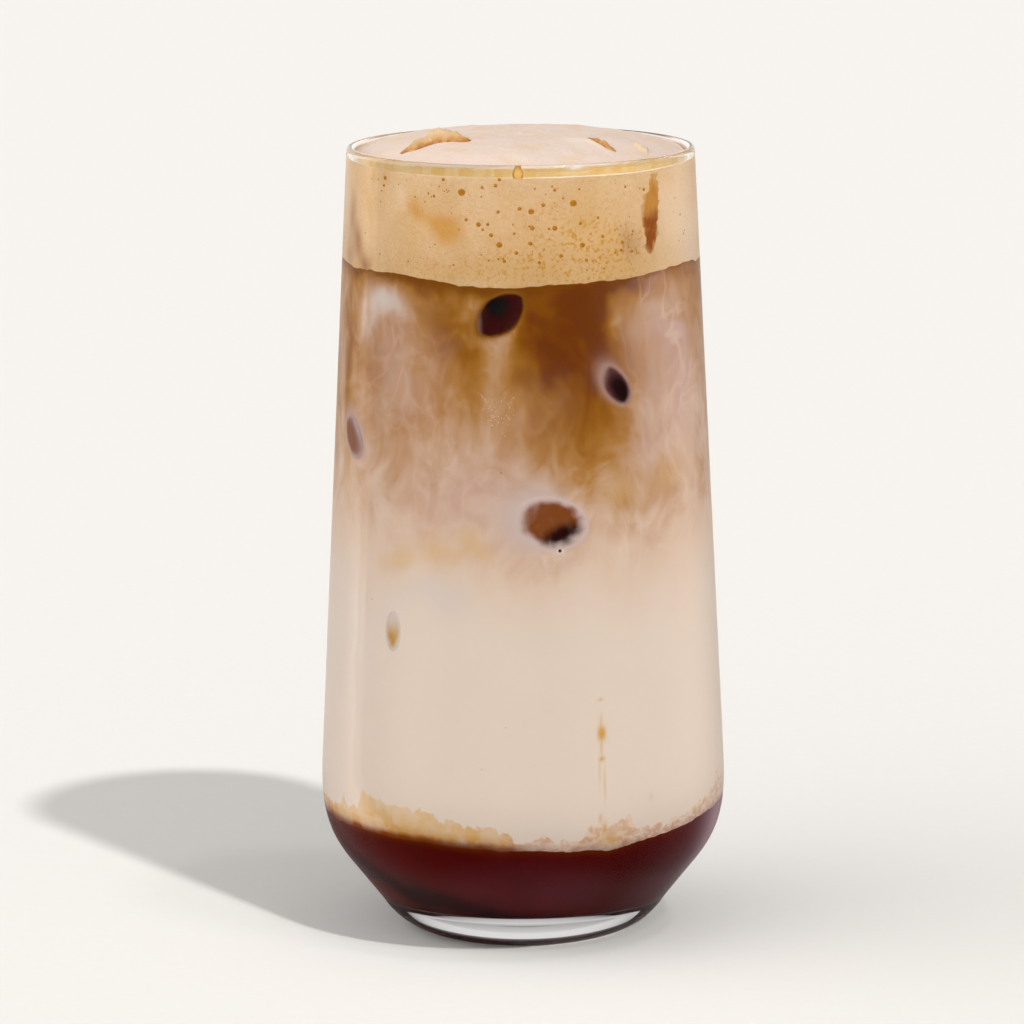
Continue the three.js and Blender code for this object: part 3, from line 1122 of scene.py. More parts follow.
@dataclass(frozen=True)
class Bead(Finish):
    """Bubbles and drops caught against the wall, which change colour towards their edge."""

    roughness: float = 0.4
    middle: str = "#7C4000"
    edge: str = "#B3741F"
    start: float = 0.45
    end: float = 1.1

    def colour(self, tree: Tree) -> Socket:
        """Gives the bead's colour, a little uneven at its edge.

        Args:
            tree: node tree that takes the nodes.

        Returns:
            The colour's output.
        """
        uneven = swing(tree, add(tree, Kind.NOISE, place(tree), 1 / 0.5, 2), 0.3)
        rim = add(tree, Kind.ADD, add(tree, Kind.NOTE, attribute_name="rim"), uneven)
        share = add(tree, Kind.EASE, rim, self.start, self.end)
        return add(tree, Kind.MIX, share, behind_wall(self.middle), behind_wall(self.edge))


@dataclass(frozen=True)
class PaintedBoard(Finish):
    """Board with matt paint: pale grey with a faint grain."""

    name: str = "painted_board_matt"
    roughness: float = 0.9
    greys: tuple[str, str] = ("#CBC9C6", "#CECCC9")

    def colour(self, tree: Tree) -> Socket:
        """Gives the board's colour."""
        grain = add(tree, Kind.NOISE, place(tree), 1 / 2.5, 3)
        return add(tree, Kind.MIX, grain, *(linear(code) for code in self.greys))


# Ice

@dataclass(frozen=True)
class IceCube:
    """A melting cube: its size, turn and middle, its window on the wall, and how milk covers it."""

    node: str
    size: Triple
    edge: float
    turn: Triple
    spot: Point
    press: float
    finish: Finish
    window: Patch
    core: Patch = Patch(0, 0, 1, 1)
    milk_from: float = 0
    milk_start: float = 9
    milk_end: float = 10
    wispy: float = 0.0
    halo: str = "#C9B2A6"
    halo_reach: Point = (0.4, 1.4)
    soft: float = 0.16
    fray: float = 0.03
    clearance: float = 0.3
    melt: float = 0.3
    melt_size: float = 6

    def rotation(self) -> Matrix:
        """Gives the cube's turn about X, Y and Z.

        Returns:
            The three turns as one matrix.
        """
        turns = zip(self.turn, "XYZ")
        first, second, third = (Matrix.Rotation(math.radians(angle), 3, axis) for angle, axis in turns)
        return first @ second @ third

    def centre(self) -> Vector:
        """Gives the cube's middle, so that it presses on the wall at its spot.

        Returns:
            The middle in millimetres.
        """
        turned = self.rotation()
        azimuth = math.radians(self.spot[0])
        outwards = Vector((math.sin(azimuth), -math.cos(azimuth), 0))
        inside = turned.inverted() @ outwards
        reach = [side / 2 - self.edge for side in self.size]
        support = Vector(math.copysign(part, sign) for part, sign in zip(reach, inside)) + inside * self.edge
        middle = outwards * float(wall_radius(self.spot[1]) - self.clearance + self.press)
        middle.z = self.spot[1]
        return middle - turned @ support

    def side(self, azimuth: Number, height: Number, towards: float) -> Number:
        """Gives how far places lie towards a direction over the window, in half sizes.

        Args:
            azimuth: degrees to the right of the front.
            height: heights in millimetres.
            towards: direction in degrees from the right, turning upwards.

        Returns:
            The distances.
        """
        along, over = self.window.local(azimuth, height)
        turn = math.radians(towards - self.window.tilt)
        return along * math.cos(turn) + over * math.sin(turn)

    def halo_at(self, azimuth: np.ndarray, height: np.ndarray) -> np.ndarray:
        """Gives how much the ice shows through the drink beside its window.

        Args:
            azimuth: degrees to the right of the front.
            height: heights in millimetres.

        Returns:
            Shares from 0 to 1.
        """
        past = np.maximum(0, self.window.away(azimuth, height) - 1)
        size = min(self.window.half_width, self.window.half_height)
        lean = smooth(-0.7, 1.1, self.side(azimuth, height, self.milk_from))
        reach = self.halo_reach[0] + (self.halo_reach[1] - self.halo_reach[0]) * lean
        return np.exp(-(past * size / reach) ** 1.4)

    def cube(self) -> tuple[Shell, np.ndarray]:
        """Gives a rounded, melted cube in its place.

        Returns:
            The shell, and its points in millimetres.
        """
        shell = bmesh.new()
        bmesh.ops.create_cube(shell, size=1)
        bmesh.ops.subdivide_edges(shell, edges=shell.edges, cuts=quick(38), use_grid_fill=True)
        raw = np.array([point.co for point in shell.verts]) * self.size
        half = np.array(self.size) / 2 - self.edge
        core = np.clip(raw, -half, half)
        out = raw - core
        out /= np.linalg.norm(out, axis=1, keepdims=True)
        turned = np.array(self.rotation())
        outwards = out @ turned.T
        points = (core + out * self.edge) @ turned.T + np.array(self.centre())
        return shell, points + self.melt * rough(points, self.melt_size, 1.1)[:, None] * outwards

    def pressed(self, points: np.ndarray) -> np.ndarray:
        """Presses points on the wall inside the window, and keeps the others clear of it.

        Args:
            points: rows of coordinates in millimetres.

        Returns:
            The points in their new places.
        """
        x, y, z = points.T
        azimuth, radius, wall = np.degrees(np.arctan2(x, -y)), np.hypot(x, y), wall_radius(z)
        away = self.window.away(azimuth, z)
        ragged = rough(around(azimuth, z), 3.0, 4.4) + 0.6 * rough(around(azimuth, z), 0.9, 7.7)
        away = away + self.fray * np.where(away < 4, ragged, 0)
        kept = np.minimum(radius, wall - self.clearance)
        sunk = 0.4 * np.maximum(0, away - 0.92) + 3 * np.maximum(0, away - 1.25)
        touching = np.maximum(kept, wall + ICE_BITE - sunk)
        limit = np.where((radius > wall - 6) & (away < 3), touching, kept) / radius
        return np.stack([x * limit, y * limit, z], axis=-1)

    def build(self) -> None:
        """Builds and places the cube."""
        shell, points = self.cube()
        points = self.pressed(points)
        for point, spot in zip(shell.verts, points.tolist()):
            point.co = Vector(spot) * MM
        bmesh.ops.recalc_face_normals(shell, faces=shell.faces)
        azimuth, height = np.degrees(np.arctan2(points[:, 0], -points[:, 1])), points[:, 2]
        away = self.window.away(azimuth, height)
        uneven = rough(points, 2.5, 2.8)
        milky = self.side(azimuth, height, self.milk_from) + 0.1 * uneven
        notes = {
            "film": smooth(self.milk_start, self.milk_end, milky),
            "glow": smooth(0.45, 1.4, self.core.away(azimuth, height) + 0.05 * uneven),
            "wispy": self.wispy * (1 - smooth(0.75, 1.05, away)),
            "rim": smooth(1 - self.soft, 1, away + 0.4 * self.soft * uneven),
        }
        material = replace(self.finish, halo=self.halo).material()
        tied(piece_from(shell, self.node + "_melting", material, notes), Slot.ICE, self.node)


@dataclass(frozen=True)
class RisenCube(IceCube):
    """A cube that stands up through the foam, which covers all but its crests."""

    crests: tuple[Bump, ...] = ()
    sunk: float = 0.5
    pale: Bump = Bump(23, -10.5, 5, 4, 1.4, -40)

    def build(self) -> None:
        """Builds and places the cube."""
        shell, points = self.cube()
        points = self.pressed(points)
        x, y, z = points.T
        azimuth, radius = np.degrees(np.arctan2(x, -y)), np.hypot(x, y)
        foam = foam_top(azimuth, np.minimum(1, radius / wall_radius(z)))
        crumple = 0.5 * rough(points, 2.4, 3.3, 5) + 0.3 * np.abs(rough(points, 1.0, 5.1))
        crest = sum(bump.at(x, y) for bump in self.crests)
        proud = crest * (1 + crumple) - self.sunk
        raised = np.maximum(z, foam + np.where(crest > 0.15, proud, -9))
        level = np.where(z > foam - 6, np.minimum(raised, foam + proud), z)
        for point, spot in zip(shell.verts, np.stack([x, y, level], axis=-1).tolist()):
            point.co = Vector(spot) * MM
        bmesh.ops.recalc_face_normals(shell, faces=shell.faces)
        away = self.window.away(azimuth, level)
        touching = (away < 1.6) & (radius > wall_radius(level) - 2)
        notes = {
            "proud": np.maximum(0, level - foam),
            "pressed": np.where(touching, 1, 0),
            "rim": smooth(0.85, 1.15, away + 0.2 * rough(points, 1.1, 6.6)),
            "upper": smooth(137.2, 141.5, level),
            "pale": np.minimum(1, self.pale.at(x, y)),
        }
        tied(piece_from(shell, self.node + "_crest", self.finish.material(), notes), Slot.ICE, self.node)


DARK = MeltingIce("ice_in_coffee_dark", deep="#050000", glow="#330604", film="#7C5E52")
DUSKY = MeltingIce("ice_in_coffee_dusky", deep="#1E0000", glow="#5C3432", film="#8C6A66")
ROSY = MeltingIce("ice_in_coffee_rosy", deep="#82553F", glow="#9A766C", film="#B9A4A6")
MILKY = MeltingIce("ice_under_milk_brown", deep="#240300", glow="#744020", film="#B2958C")
AMBER = MeltingIce("ice_under_milk_amber", deep="#C08E48", glow="#CBA470", film="#D6C6B8")
WET = RisenIce()

WINDOW_CUBES = (
    IceCube("ice_upper_middle", (18, 17, 16), 5, (20, -2, 38), (-7, 122.7), 1.5, DARK,
            window=Patch(-6.7, 122.6, 5.3, 3.4, 1, 41, 1.7), core=Patch(-7.6, 124, 2.4, 2.0),
            milk_from=195, milk_start=0.62, milk_end=1.05, wispy=0.3,
            halo="#7E4E18", halo_reach=(0.25, 0.6), soft=0.08),
    IceCube("ice_upper_right", (17, 18, 18), 3.4, (28, -18, -14), (32, 109), 0.9, DUSKY,
            window=Patch(31.2, 108.8, 2.5, 4.3, 1, 35), core=Patch(32.8, 107.9, 2.0, 3.9, 1, 35, 2.2),
            milk_from=145, milk_start=0.45, milk_end=1.0, wispy=0.4,
            halo="#A07C6E", halo_reach=(0.18, 0.9), soft=0.25),
    IceCube("ice_left", (19, 19, 18), 3.6, (12, -22, -18), (-66, 97.2), 0.6, ROSY,
            window=Patch(-65.4, 97.1, 2.9, 4.6, 1, 40), core=Patch(-67.6, 97, 2.6, 4.4, 1, 40),
            milk_from=40, milk_start=0.3, milk_end=1.0, wispy=0.3,
            halo="#B3958A", halo_reach=(0.3, 1.0), soft=0.25),
    IceCube("ice_middle", (20, 19, 18), 5.5, (22, 3, 53), (8, 84.2), 2, MILKY,
            window=Patch(9.0, 84.0, 6.7, 4.6, 1, -14, 2.1), core=Patch(12.6, 81.2, 4.9, 2.5, 1, 20),
            milk_from=165, milk_start=0.4, milk_end=1.1, wispy=0.3,
            halo="#C4ADA4", halo_reach=(0.2, 2.8), soft=0.36),
    IceCube("ice_low_left", (18, 19, 18), 3.4, (15, -13, 4), (-42, 62.8), 0.7, AMBER,
            window=Patch(-42.3, 62.3, 1.8, 3.7, 1, 0, 1.9), core=Patch(-43, 60.6, 1.4, 2.0),
            milk_from=90, milk_start=-0.3, milk_end=0.8, wispy=0.3,
            halo="#D8C6B8", halo_reach=(0.35, 1.2), soft=0.35),
)

RISEN_CUBES = (
    RisenCube("ice_top_left", (15, 12.5, 18), 1.8, (20, 4, 2), (-50, 148.6), -0.6, WET,
              window=Patch(-50, 100, 0.1, 0.1),
              crests=(Bump(-19.6, -11.8, 3.0, 1.3, 1.5, 38), Bump(-15.2, -9.3, 2.6, 1.5, 2.4, 8),
                      Bump(-11.6, -9.9, 2.4, 1.3, 1.7, -25))),
    RisenCube("ice_top_right", (18, 18, 18), 2, (-3, -3, 1), (48, 133.6), 0.5, WET,
              window=Patch(47.8, 139.4, 2.0, 6.8, 1, -8), fray=0.45,
              crests=(Bump(15.0, -13.6, 4.4, 0.8, 1.15, -48), Bump(22.8, -10.6, 2.6, 1.7, 1.25, -40))),
)


# Layers

@dataclass(frozen=True)
class SyrupLayer:
    """The syrup at the bottom, from the glass's floor up to the milk."""

    # Painted shade, darkest low on the left
    painted_shades: tuple[Patch, ...] = (
        Patch(-62, 15, 17, 3.2, 0.6, -12), Patch(-34, 11.2, 14, 2.6, 0.8, -12),
        Patch(-8, 8.8, 14, 2.2, 0.6, -8),
    )
    # Painted reflections of the pale floor, faint at the front and strongest on the right
    painted_sheens: tuple[Patch, ...] = (
        Patch(2, 14.5, 15, 6, 0.4, 0, 2, 4), Patch(16, 13.5, 7, 4.5, 0.35, 0, 4, 6),
        Patch(64, 17, 9, 8, 0.75), Patch(54, 11.5, 8, 3.5, 0.8),
    )
    # Painted reflection at the syrup's right edge, pale lilac
    painted_glimmer: Patch = Patch(78, 20, 6, 9, 0.9)
    rings: tuple[float, ...] = (0, 0.3, 0.6, 0.8, 0.9, 1)
    depth: float = 12

    def build(self) -> None:
        """Builds and places the layer."""
        levels = [(i / 40) ** 2 for i in range(1, 26)] + [0.39 + 0.61 * i / 20 for i in range(1, 20)]
        bottom = SECTION.floor - LAYER_BITE
        shell, at = drum(self.rings, levels, self.rings, quick(420),
                         lambda azimuth, share: bottom + 0 * azimuth, syrup_top)
        notes = {
            "depth": np.clip((syrup_top(at.azimuth, 1) - at.height) / self.depth, 0, 1),
            # painted shade and painted reflections
            "painted_shade": np.minimum(1, summed(self.painted_shades, *drifted(at.azimuth, at.height, 0.8, 6))),
            "painted_sheen": np.minimum(1, summed(self.painted_sheens, at.azimuth, at.height)),
            "painted_glimmer": self.painted_glimmer.at(at.azimuth, at.height),
        }
        tied(piece_from(shell, "syrup_layer", DarkSyrup().material(), notes), Slot.SYRUP, "syrup")


@dataclass(frozen=True)
class LatteBody:
    """Milk below and marbled coffee above, one body from the syrup to the foam."""

    strength_by_height: tuple[Point, ...] = (
        (60, 0.0), (66, 0.02), (72, 0.07), (78, 0.14), (84, 0.22), (92, 0.29), (100, 0.34), (110, 0.42),
        (118, 0.48), (126, 0.52), (130, 0.6),
    )
    coffee_clouds: tuple[Patch, ...] = (
        Patch(15, 119.5, 8.8, 9.5, 0.4, 0, 4, 6), Patch(8, 126, 9, 4, 0.22), Patch(19, 107, 8, 10, 0.34),
        Patch(13, 99, 7.5, 8, 0.2), Patch(2, 108, 6, 9, 0.16), Patch(-6, 97, 7, 6, 0.07),
        Patch(-46, 112, 9, 9, 0.09), Patch(2, 76, 9, 4, 0.1), Patch(25, 124, 5, 6, 0.15),
        Patch(-28, 121, 4.5, 11, 0.2, 32), Patch(-18, 112, 3.5, 7, 0.16, 20),
        Patch(-71, 108, 2.0, 14, 0.22), Patch(39, 89, 10, 5, 0.1), Patch(27, 93, 8, 6, 0.12),
        Patch(-41, 95, 6, 9, 0.08, 20), Patch(52, 90, 5, 5, 0.14), Patch(-7, 128.2, 7, 2.6, 0.34),
        Patch(58, 120, 11, 9, 0.13), Patch(-34, 114, 10, 6, 0.06), Patch(-33, 103, 11, 6, 0.1),
        Patch(54, 113, 11, 7, 0.07), Patch(34, 113, 4, 5, 0.12), Patch(33, 128, 7, 2.6, 0.34, -16, 3, 4),
        Patch(-120, 112, 14, 9, 0.22), Patch(150, 117, 12, 10, 0.3), Patch(115, 104, 9, 12, 0.2),
        Patch(-165, 100, 10, 9, 0.16), Patch(-90, 104, 7, 9, 0.1), Patch(95, 121, 9, 6, 0.15),
    )
    milk_clouds: tuple[Patch, ...] = (
        Patch(-50, 124, 5.0, 2.6, 0.45, -18), Patch(-61, 121, 1.6, 6, 0.25, -12),
        Patch(-42, 110, 6, 10, 0.1), Patch(-4.2, 117.4, 2.2, 4.4, 0.05, 12, 3, 5),
        Patch(-8, 109, 3.2, 8, 0.05, 6), Patch(48, 121, 6, 8, 0.2, -20), Patch(60, 104, 6, 18, 0.16),
        Patch(42, 97, 3.4, 10, 0.12), Patch(-13, 94, 9, 6, 0.08), Patch(0.4, 101, 1.1, 9, 0.05),
        Patch(105, 112, 7, 10, 0.2), Patch(-145, 120, 8, 7, 0.25), Patch(170, 106, 6, 11, 0.18),
        Patch(130, 92, 9, 8, 0.1), Patch(-105, 122, 5, 5, 0.22),
    )
    lilac_clouds: tuple[Patch, ...] = (
        Patch(-48, 116, 9, 9, 0.42, -20), Patch(-40, 106, 8, 9, 0.35), Patch(50, 119, 8, 10, 0.7),
        Patch(60, 106, 9, 17, 0.7), Patch(43, 96, 4, 9, 0.4), Patch(-14, 92, 13, 7, 0.4),
        Patch(-78, 112, 3, 18, 0.3), Patch(2, 103, 7, 7, 0.2), Patch(-33, 86, 12, 5, 0.25),
        Patch(105, 112, 12, 14, 0.5), Patch(-145, 115, 14, 12, 0.5), Patch(170, 104, 12, 14, 0.45),
        Patch(-105, 100, 9, 12, 0.35),
    )
    hazes: tuple[Patch, ...] = (
        Patch(-30, 70.5, 6, 3.2, 0.4), Patch(-22, 69.8, 4, 3, 0.25), Patch(-66, 60, 7, 16, 0.2),
        Patch(-50, 124.3, 4.2, 2.0, 0.75, -18), Patch(-56, 120, 1.4, 4.5, 0.4, -14),
    )
    scallops: tuple[Patch, ...] = (
        Patch(-38.6, 76.4, 2.6, 2.0, 0.5, 8, 2.2, 3), Patch(-28.5, 78.4, 2.4, 2.6, 0.48, 6, 2.2, 3),
        Patch(-22.0, 77.6, 2.0, 2.0, 0.4, 0, 2, 3), Patch(-15.9, 80.4, 2.2, 2.6, 0.55, -6, 2.2, 3),
        Patch(-11.5, 78.2, 1.8, 2.0, 0.4, 0, 2, 3), Patch(-45, 74.5, 3.0, 2.0, 0.32, 0, 2, 3),
        Patch(52, 91, 6, 3.4, 0.4, 10), Patch(32, 89, 5, 2.6, 0.3, -12), Patch(-70, 92, 3, 9, 0.25),
    )
    stain_heights: tuple[Point, ...] = (
        (-67, 3), (-64.6, 5.6), (-62, 3), (-56.5, 4), (-53.8, 8), (-51, 6.2), (-44, 6.6), (-35, 6.0),
        (-20, 4.6), (-5, 3.6), (-1, 1.2), (4, 1.8), (6, 3.0), (9, 1.8), (16, 2.6), (20, 3.6), (25, 4.4),
        (33, 5.2), (35, 2.6), (44, 2.0), (60, 2.4), (72, 3.4), (76, 7), (79, 4), (100, 3),
    )
    caramel_shares: tuple[Point, ...] = (
        (-180, 0.3), (-100, 0.4), (-75, 0.8), (-55, 1), (-14, 1), (-4, 0.75), (2, 0.3), (12, 0.15),
        (22, 0.35), (32, 0.3), (38, 0.1), (60, 0.15), (100, 0.2), (180, 0.3),
    )
    drips: tuple[Patch, ...] = (
        Patch(23.6, 44.2, 0.75, 1.15, 1.3, 0, 3), Patch(23.4, 46.6, 0.4, 1.4, 0.45),
        Patch(23.6, 39.4, 0.5, 0.5, 0.8), Patch(23.4, 41.5, 0.25, 1.6, 0.5),
        Patch(24.2, 34.6, 0.22, 3.2, 0.4), Patch(22.7, 37.4, 0.2, 3.0, 0.3),
        Patch(23.4, 50.6, 0.5, 0.3, 0.6), Patch(26.7, 23.9, 1.5, 0.9, 0.75),
        Patch(24.2, 26.2, 0.5, 1.2, 0.8), Patch(22.9, 28.2, 0.35, 1.0, 0.6), Patch(40, 31, 0.5, 0.9, 0.25),
    )
    bubble: Patch = Patch(11.5, 78.8, 0.75, 0.75)
    bubble_ring: str = "#DCD0CA"
    rings: tuple[float, ...] = (0, 0.3, 0.6, 0.8, 0.9, 0.95, 0.98, 1)
    crust_middle: float = -20

    def coffee_at(self, azimuth: np.ndarray, height: np.ndarray) -> np.ndarray:
        """Gives how strong the coffee is: 0 for milk and 1 for the darkest coffee.

        Args:
            azimuth: degrees to the right of the front.
            height: heights in millimetres.

        Returns:
            Shares from 0 to 1.
        """
        a, z = drifted(azimuth, height, 2.6, 2.4)
        a, z = drifted(a, z, 0.9, 5.5, 4.5)
        strength = between(self.strength_by_height, z + 2 * np.sin(np.radians(2 * azimuth) + 0.6))
        strength += summed(self.coffee_clouds, a, z) - summed(self.milk_clouds, a, z)
        under_foam = coffee_top(azimuth, 1) - height
        strength += 0.2 * np.exp(-(under_foam / 2.5) ** 2)
        return np.clip(strength, 0, 1)

    def crust(self, azimuth: np.ndarray, height: np.ndarray) -> np.ndarray:
        """Gives how much dark coffee hangs right under the foam: a ragged band, thickest at the front left.

        Args:
            azimuth: degrees to the right of the front.
            height: heights in millimetres.

        Returns:
            Shares from 0 to 1.
        """
        away = np.abs((azimuth - self.crust_middle + 180) % 360 - 180)
        depth = 0.6 + 1.2 * smooth(40, 8, away) + 0.9 * rough(around(azimuth, 0), 3.4, 9.9)
        ragged = 0.9 * rough(around(azimuth, height), 2.6, 12.4, 5)
        under = np.maximum(0, coffee_top(azimuth, 1) - height + ragged)
        full = 0.55 + 0.4 * smooth(70, 15, away)
        return full * np.exp(-(under / np.maximum(0.35, depth)) ** 2.4)

    def halos(self, azimuth: np.ndarray, height: np.ndarray) -> np.ndarray:
        """Gives the colour of the ice that shows beside its windows, and as alpha how much of it shows.

        Args:
            azimuth: degrees to the right of the front.
            height: heights in millimetres.

        Returns:
            Rows of red, green, blue and alpha.
        """
        best = np.zeros((len(azimuth), 4))
        for cube in WINDOW_CUBES:
            share = cube.halo_at(azimuth, height)
            shows = share > best[:, 3]
            best[shows, :3] = behind_wall(cube.halo)[:3]
            best[shows, 3] = share[shows]
        ring = self.bubble.at(azimuth, height)
        best[ring > 0.3, :3] = behind_wall(self.bubble_ring)[:3]
        best[:, 3] = np.maximum(best[:, 3], ring)
        return best

    def build(self) -> None:
        """Builds and places the body."""
        count = quick(190)
        shell, at = drum(self.rings, [i / count for i in range(1, count)], self.rings, quick(460),
                         lambda azimuth, share: syrup_top(azimuth, share) + LAYER_GAP, coffee_top)
        above = at.height - syrup_top(at.azimuth, 1)
        notes = {
            "coffee": self.coffee_at(at.azimuth, at.height),
            # painted light: the milk's colour brightened where the lamps only graze it
            "lift": lifted(at.azimuth),
            "crust": self.crust(at.azimuth, at.height),
            "lilac": np.minimum(1, summed(self.lilac_clouds, *drifted(at.azimuth, at.height, 2.6, 9.1))),
            "haze": np.minimum(1, summed(self.hazes, *drifted(at.azimuth, at.height, 1.4, 7.7, 6))),
            "ochre": np.minimum(1, summed(self.scallops, *drifted(at.azimuth, at.height, 0.5, 3.7, 2.5))),
            "above_syrup": above,
            "stain": between(self.stain_heights, at.azimuth) - above,
            "caramel": between(self.caramel_shares, at.azimuth),
            "drip": np.minimum(1, summed(self.drips, at.azimuth, at.height)),
            "ice_halo": self.halos(at.azimuth, at.height),
        }
        tied(piece_from(shell, "latte_body", MarbledLatte().material(), notes), Slot.COFFEE, "milk", "coffee")


@dataclass(frozen=True)
class FoamCrown:
    """The foam: a ring against the wall and a low dome above the lip, with swells where cubes stand in it."""

    golden: tuple[Patch, ...] = (
        Patch(22, 135, 11, 6, 0.85), Patch(5, 132.5, 9, 3, 0.4), Patch(37, 134.5, 5, 5, 0.7),
        Patch(12, 141, 9, 5, 0.25), Patch(0, 130, 40, 3.4, 0.4), Patch(120, 137, 12, 6, 0.5),
        Patch(-130, 138, 12, 6, 0.45), Patch(-20, 131, 8, 2.5, 0.3),
    )
    # Painted highlight on the ice behind the foam
    glow: tuple[Patch, ...] = (
        Patch(-42.5, 143.6, 1.5, 2.4, 0.8, 24), Patch(-36, 139.4, 1.0, 1.6, 0.4, 30),
        Patch(-55, 137, 5, 6, 0.35),
    )
    amber: tuple[Patch, ...] = (
        Patch(-37.4, 140.9, 1.5, 2.3, 0.9, 34), Patch(-24.8, 137.9, 2.8, 3.0, 0.95, 20, 2.6, 3),
        Patch(-30.5, 139.4, 3.0, 1.6, 0.6, -24), Patch(-51, 146.3, 0.9, 1.0, 0.6),
        Patch(-57, 146.6, 0.8, 1.4, 0.4), Patch(-60, 141, 1.2, 5, 0.25, 15),
    )
    blush: tuple[Patch, ...] = (
        Patch(62, 138, 8, 12, 0.55), Patch(75, 132, 6, 8, 0.5), Patch(-82, 141, 4, 8, 0.5),
    )
    streak: tuple[Patch, ...] = (
        Patch(-73, 138.2, 1.8, 4.4, 0.6, -6), Patch(-67, 133.2, 2.0, 3.6, 0.8, 22),
        Patch(-60.5, 129.6, 2.0, 1.7, 0.9, 30), Patch(-74, 130.5, 2.6, 2.2, 0.45),
        Patch(38.5, 135.4, 2.2, 3.0, 0.4, 20),
    )
    rings: tuple[float, ...] = (0, 0.4, 0.7, 0.9, 0.97, 1)
    edge_rings: tuple[float, ...] = (0.945, 0.96, 0.972, 0.982, 0.99, 0.996, 1)
    dome: float = 0.93

    def build(self) -> None:
        """Builds and places the crown."""
        inner, high = quick(58), 46
        top_rings = [self.dome * i / inner for i in range(inner + 1)] + list(self.edge_rings)
        shell, at = drum(self.rings, [i / high for i in range(1, high)], top_rings, quick(460),
                         lambda azimuth, share: coffee_top(azimuth, share) + LAYER_GAP, foam_top)
        fields = (("golden", 1.6, self.golden), ("glow", 0.6, self.glow), ("amber", 0.5, self.amber),
                  ("blush", 1.5, self.blush), ("streak", 0.8, self.streak))
        notes = {name: np.minimum(1, summed(patches, *drifted(at.azimuth, at.height, reach, 4.2, 5)))
                 for name, reach, patches in fields}
        # painted light on the foam against the wall, with painted shade towards its lower edge
        notes["lift"] = lifted(at.azimuth) * (1 - 0.06 * smooth(138, 131, at.height))
        notes["open"] = np.where(at.height > FOAM_CONTACT - 2, smooth(0.9995, 0.985, at.share), 0)
        tied(piece_from(shell, "foam_crown", ColdFoam().material(), notes), Slot.FOAM, "foam")


# Bubbles and film

# Share of a lens's depth behind which it shows nothing but its edge
LENS_FRONT = 0.3


def lenses(name: str, bead: Bead, spots: Sequence[Triple], slot: Slot, stretch: float = 1.0,
           depth: float = 0.09) -> None:
    """Sets small lenses of bubble or drop against the wall.

    Args:
        name: name of the piece that holds them all.
        bead: their finish.
        spots: azimuth, height and radius of each.
        slot: material slot of the record.
        stretch: how much taller than wide they are.
        depth: how far they reach into the glass.
    """
    shell = bmesh.new()
    rims: list[float] = []
    for azimuth, height, radius in spots:
        verts = bmesh.ops.create_uvsphere(shell, u_segments=10, v_segments=6, radius=1)["verts"]
        rims += [math.hypot(vert.co.x, vert.co.z) if vert.co.y < LENS_FRONT else 1.0 for vert in verts]
        reach = float(wall_radius(height))
        turn = math.radians(azimuth)
        middle = Vector((reach * math.sin(turn), -reach * math.cos(turn), height))
        flat = Matrix.Diagonal((radius, depth, radius * stretch, 1))
        bmesh.ops.transform(shell, verts=verts, matrix=Matrix.Scale(MM, 4) @ Matrix.Translation(middle)
                            @ Matrix.Rotation(turn, 4, "Z") @ flat)
    bmesh.ops.recalc_face_normals(shell, faces=shell.faces)
    tied(piece_from(shell, name, bead.material(), {"rim": np.array(rims)}), slot)


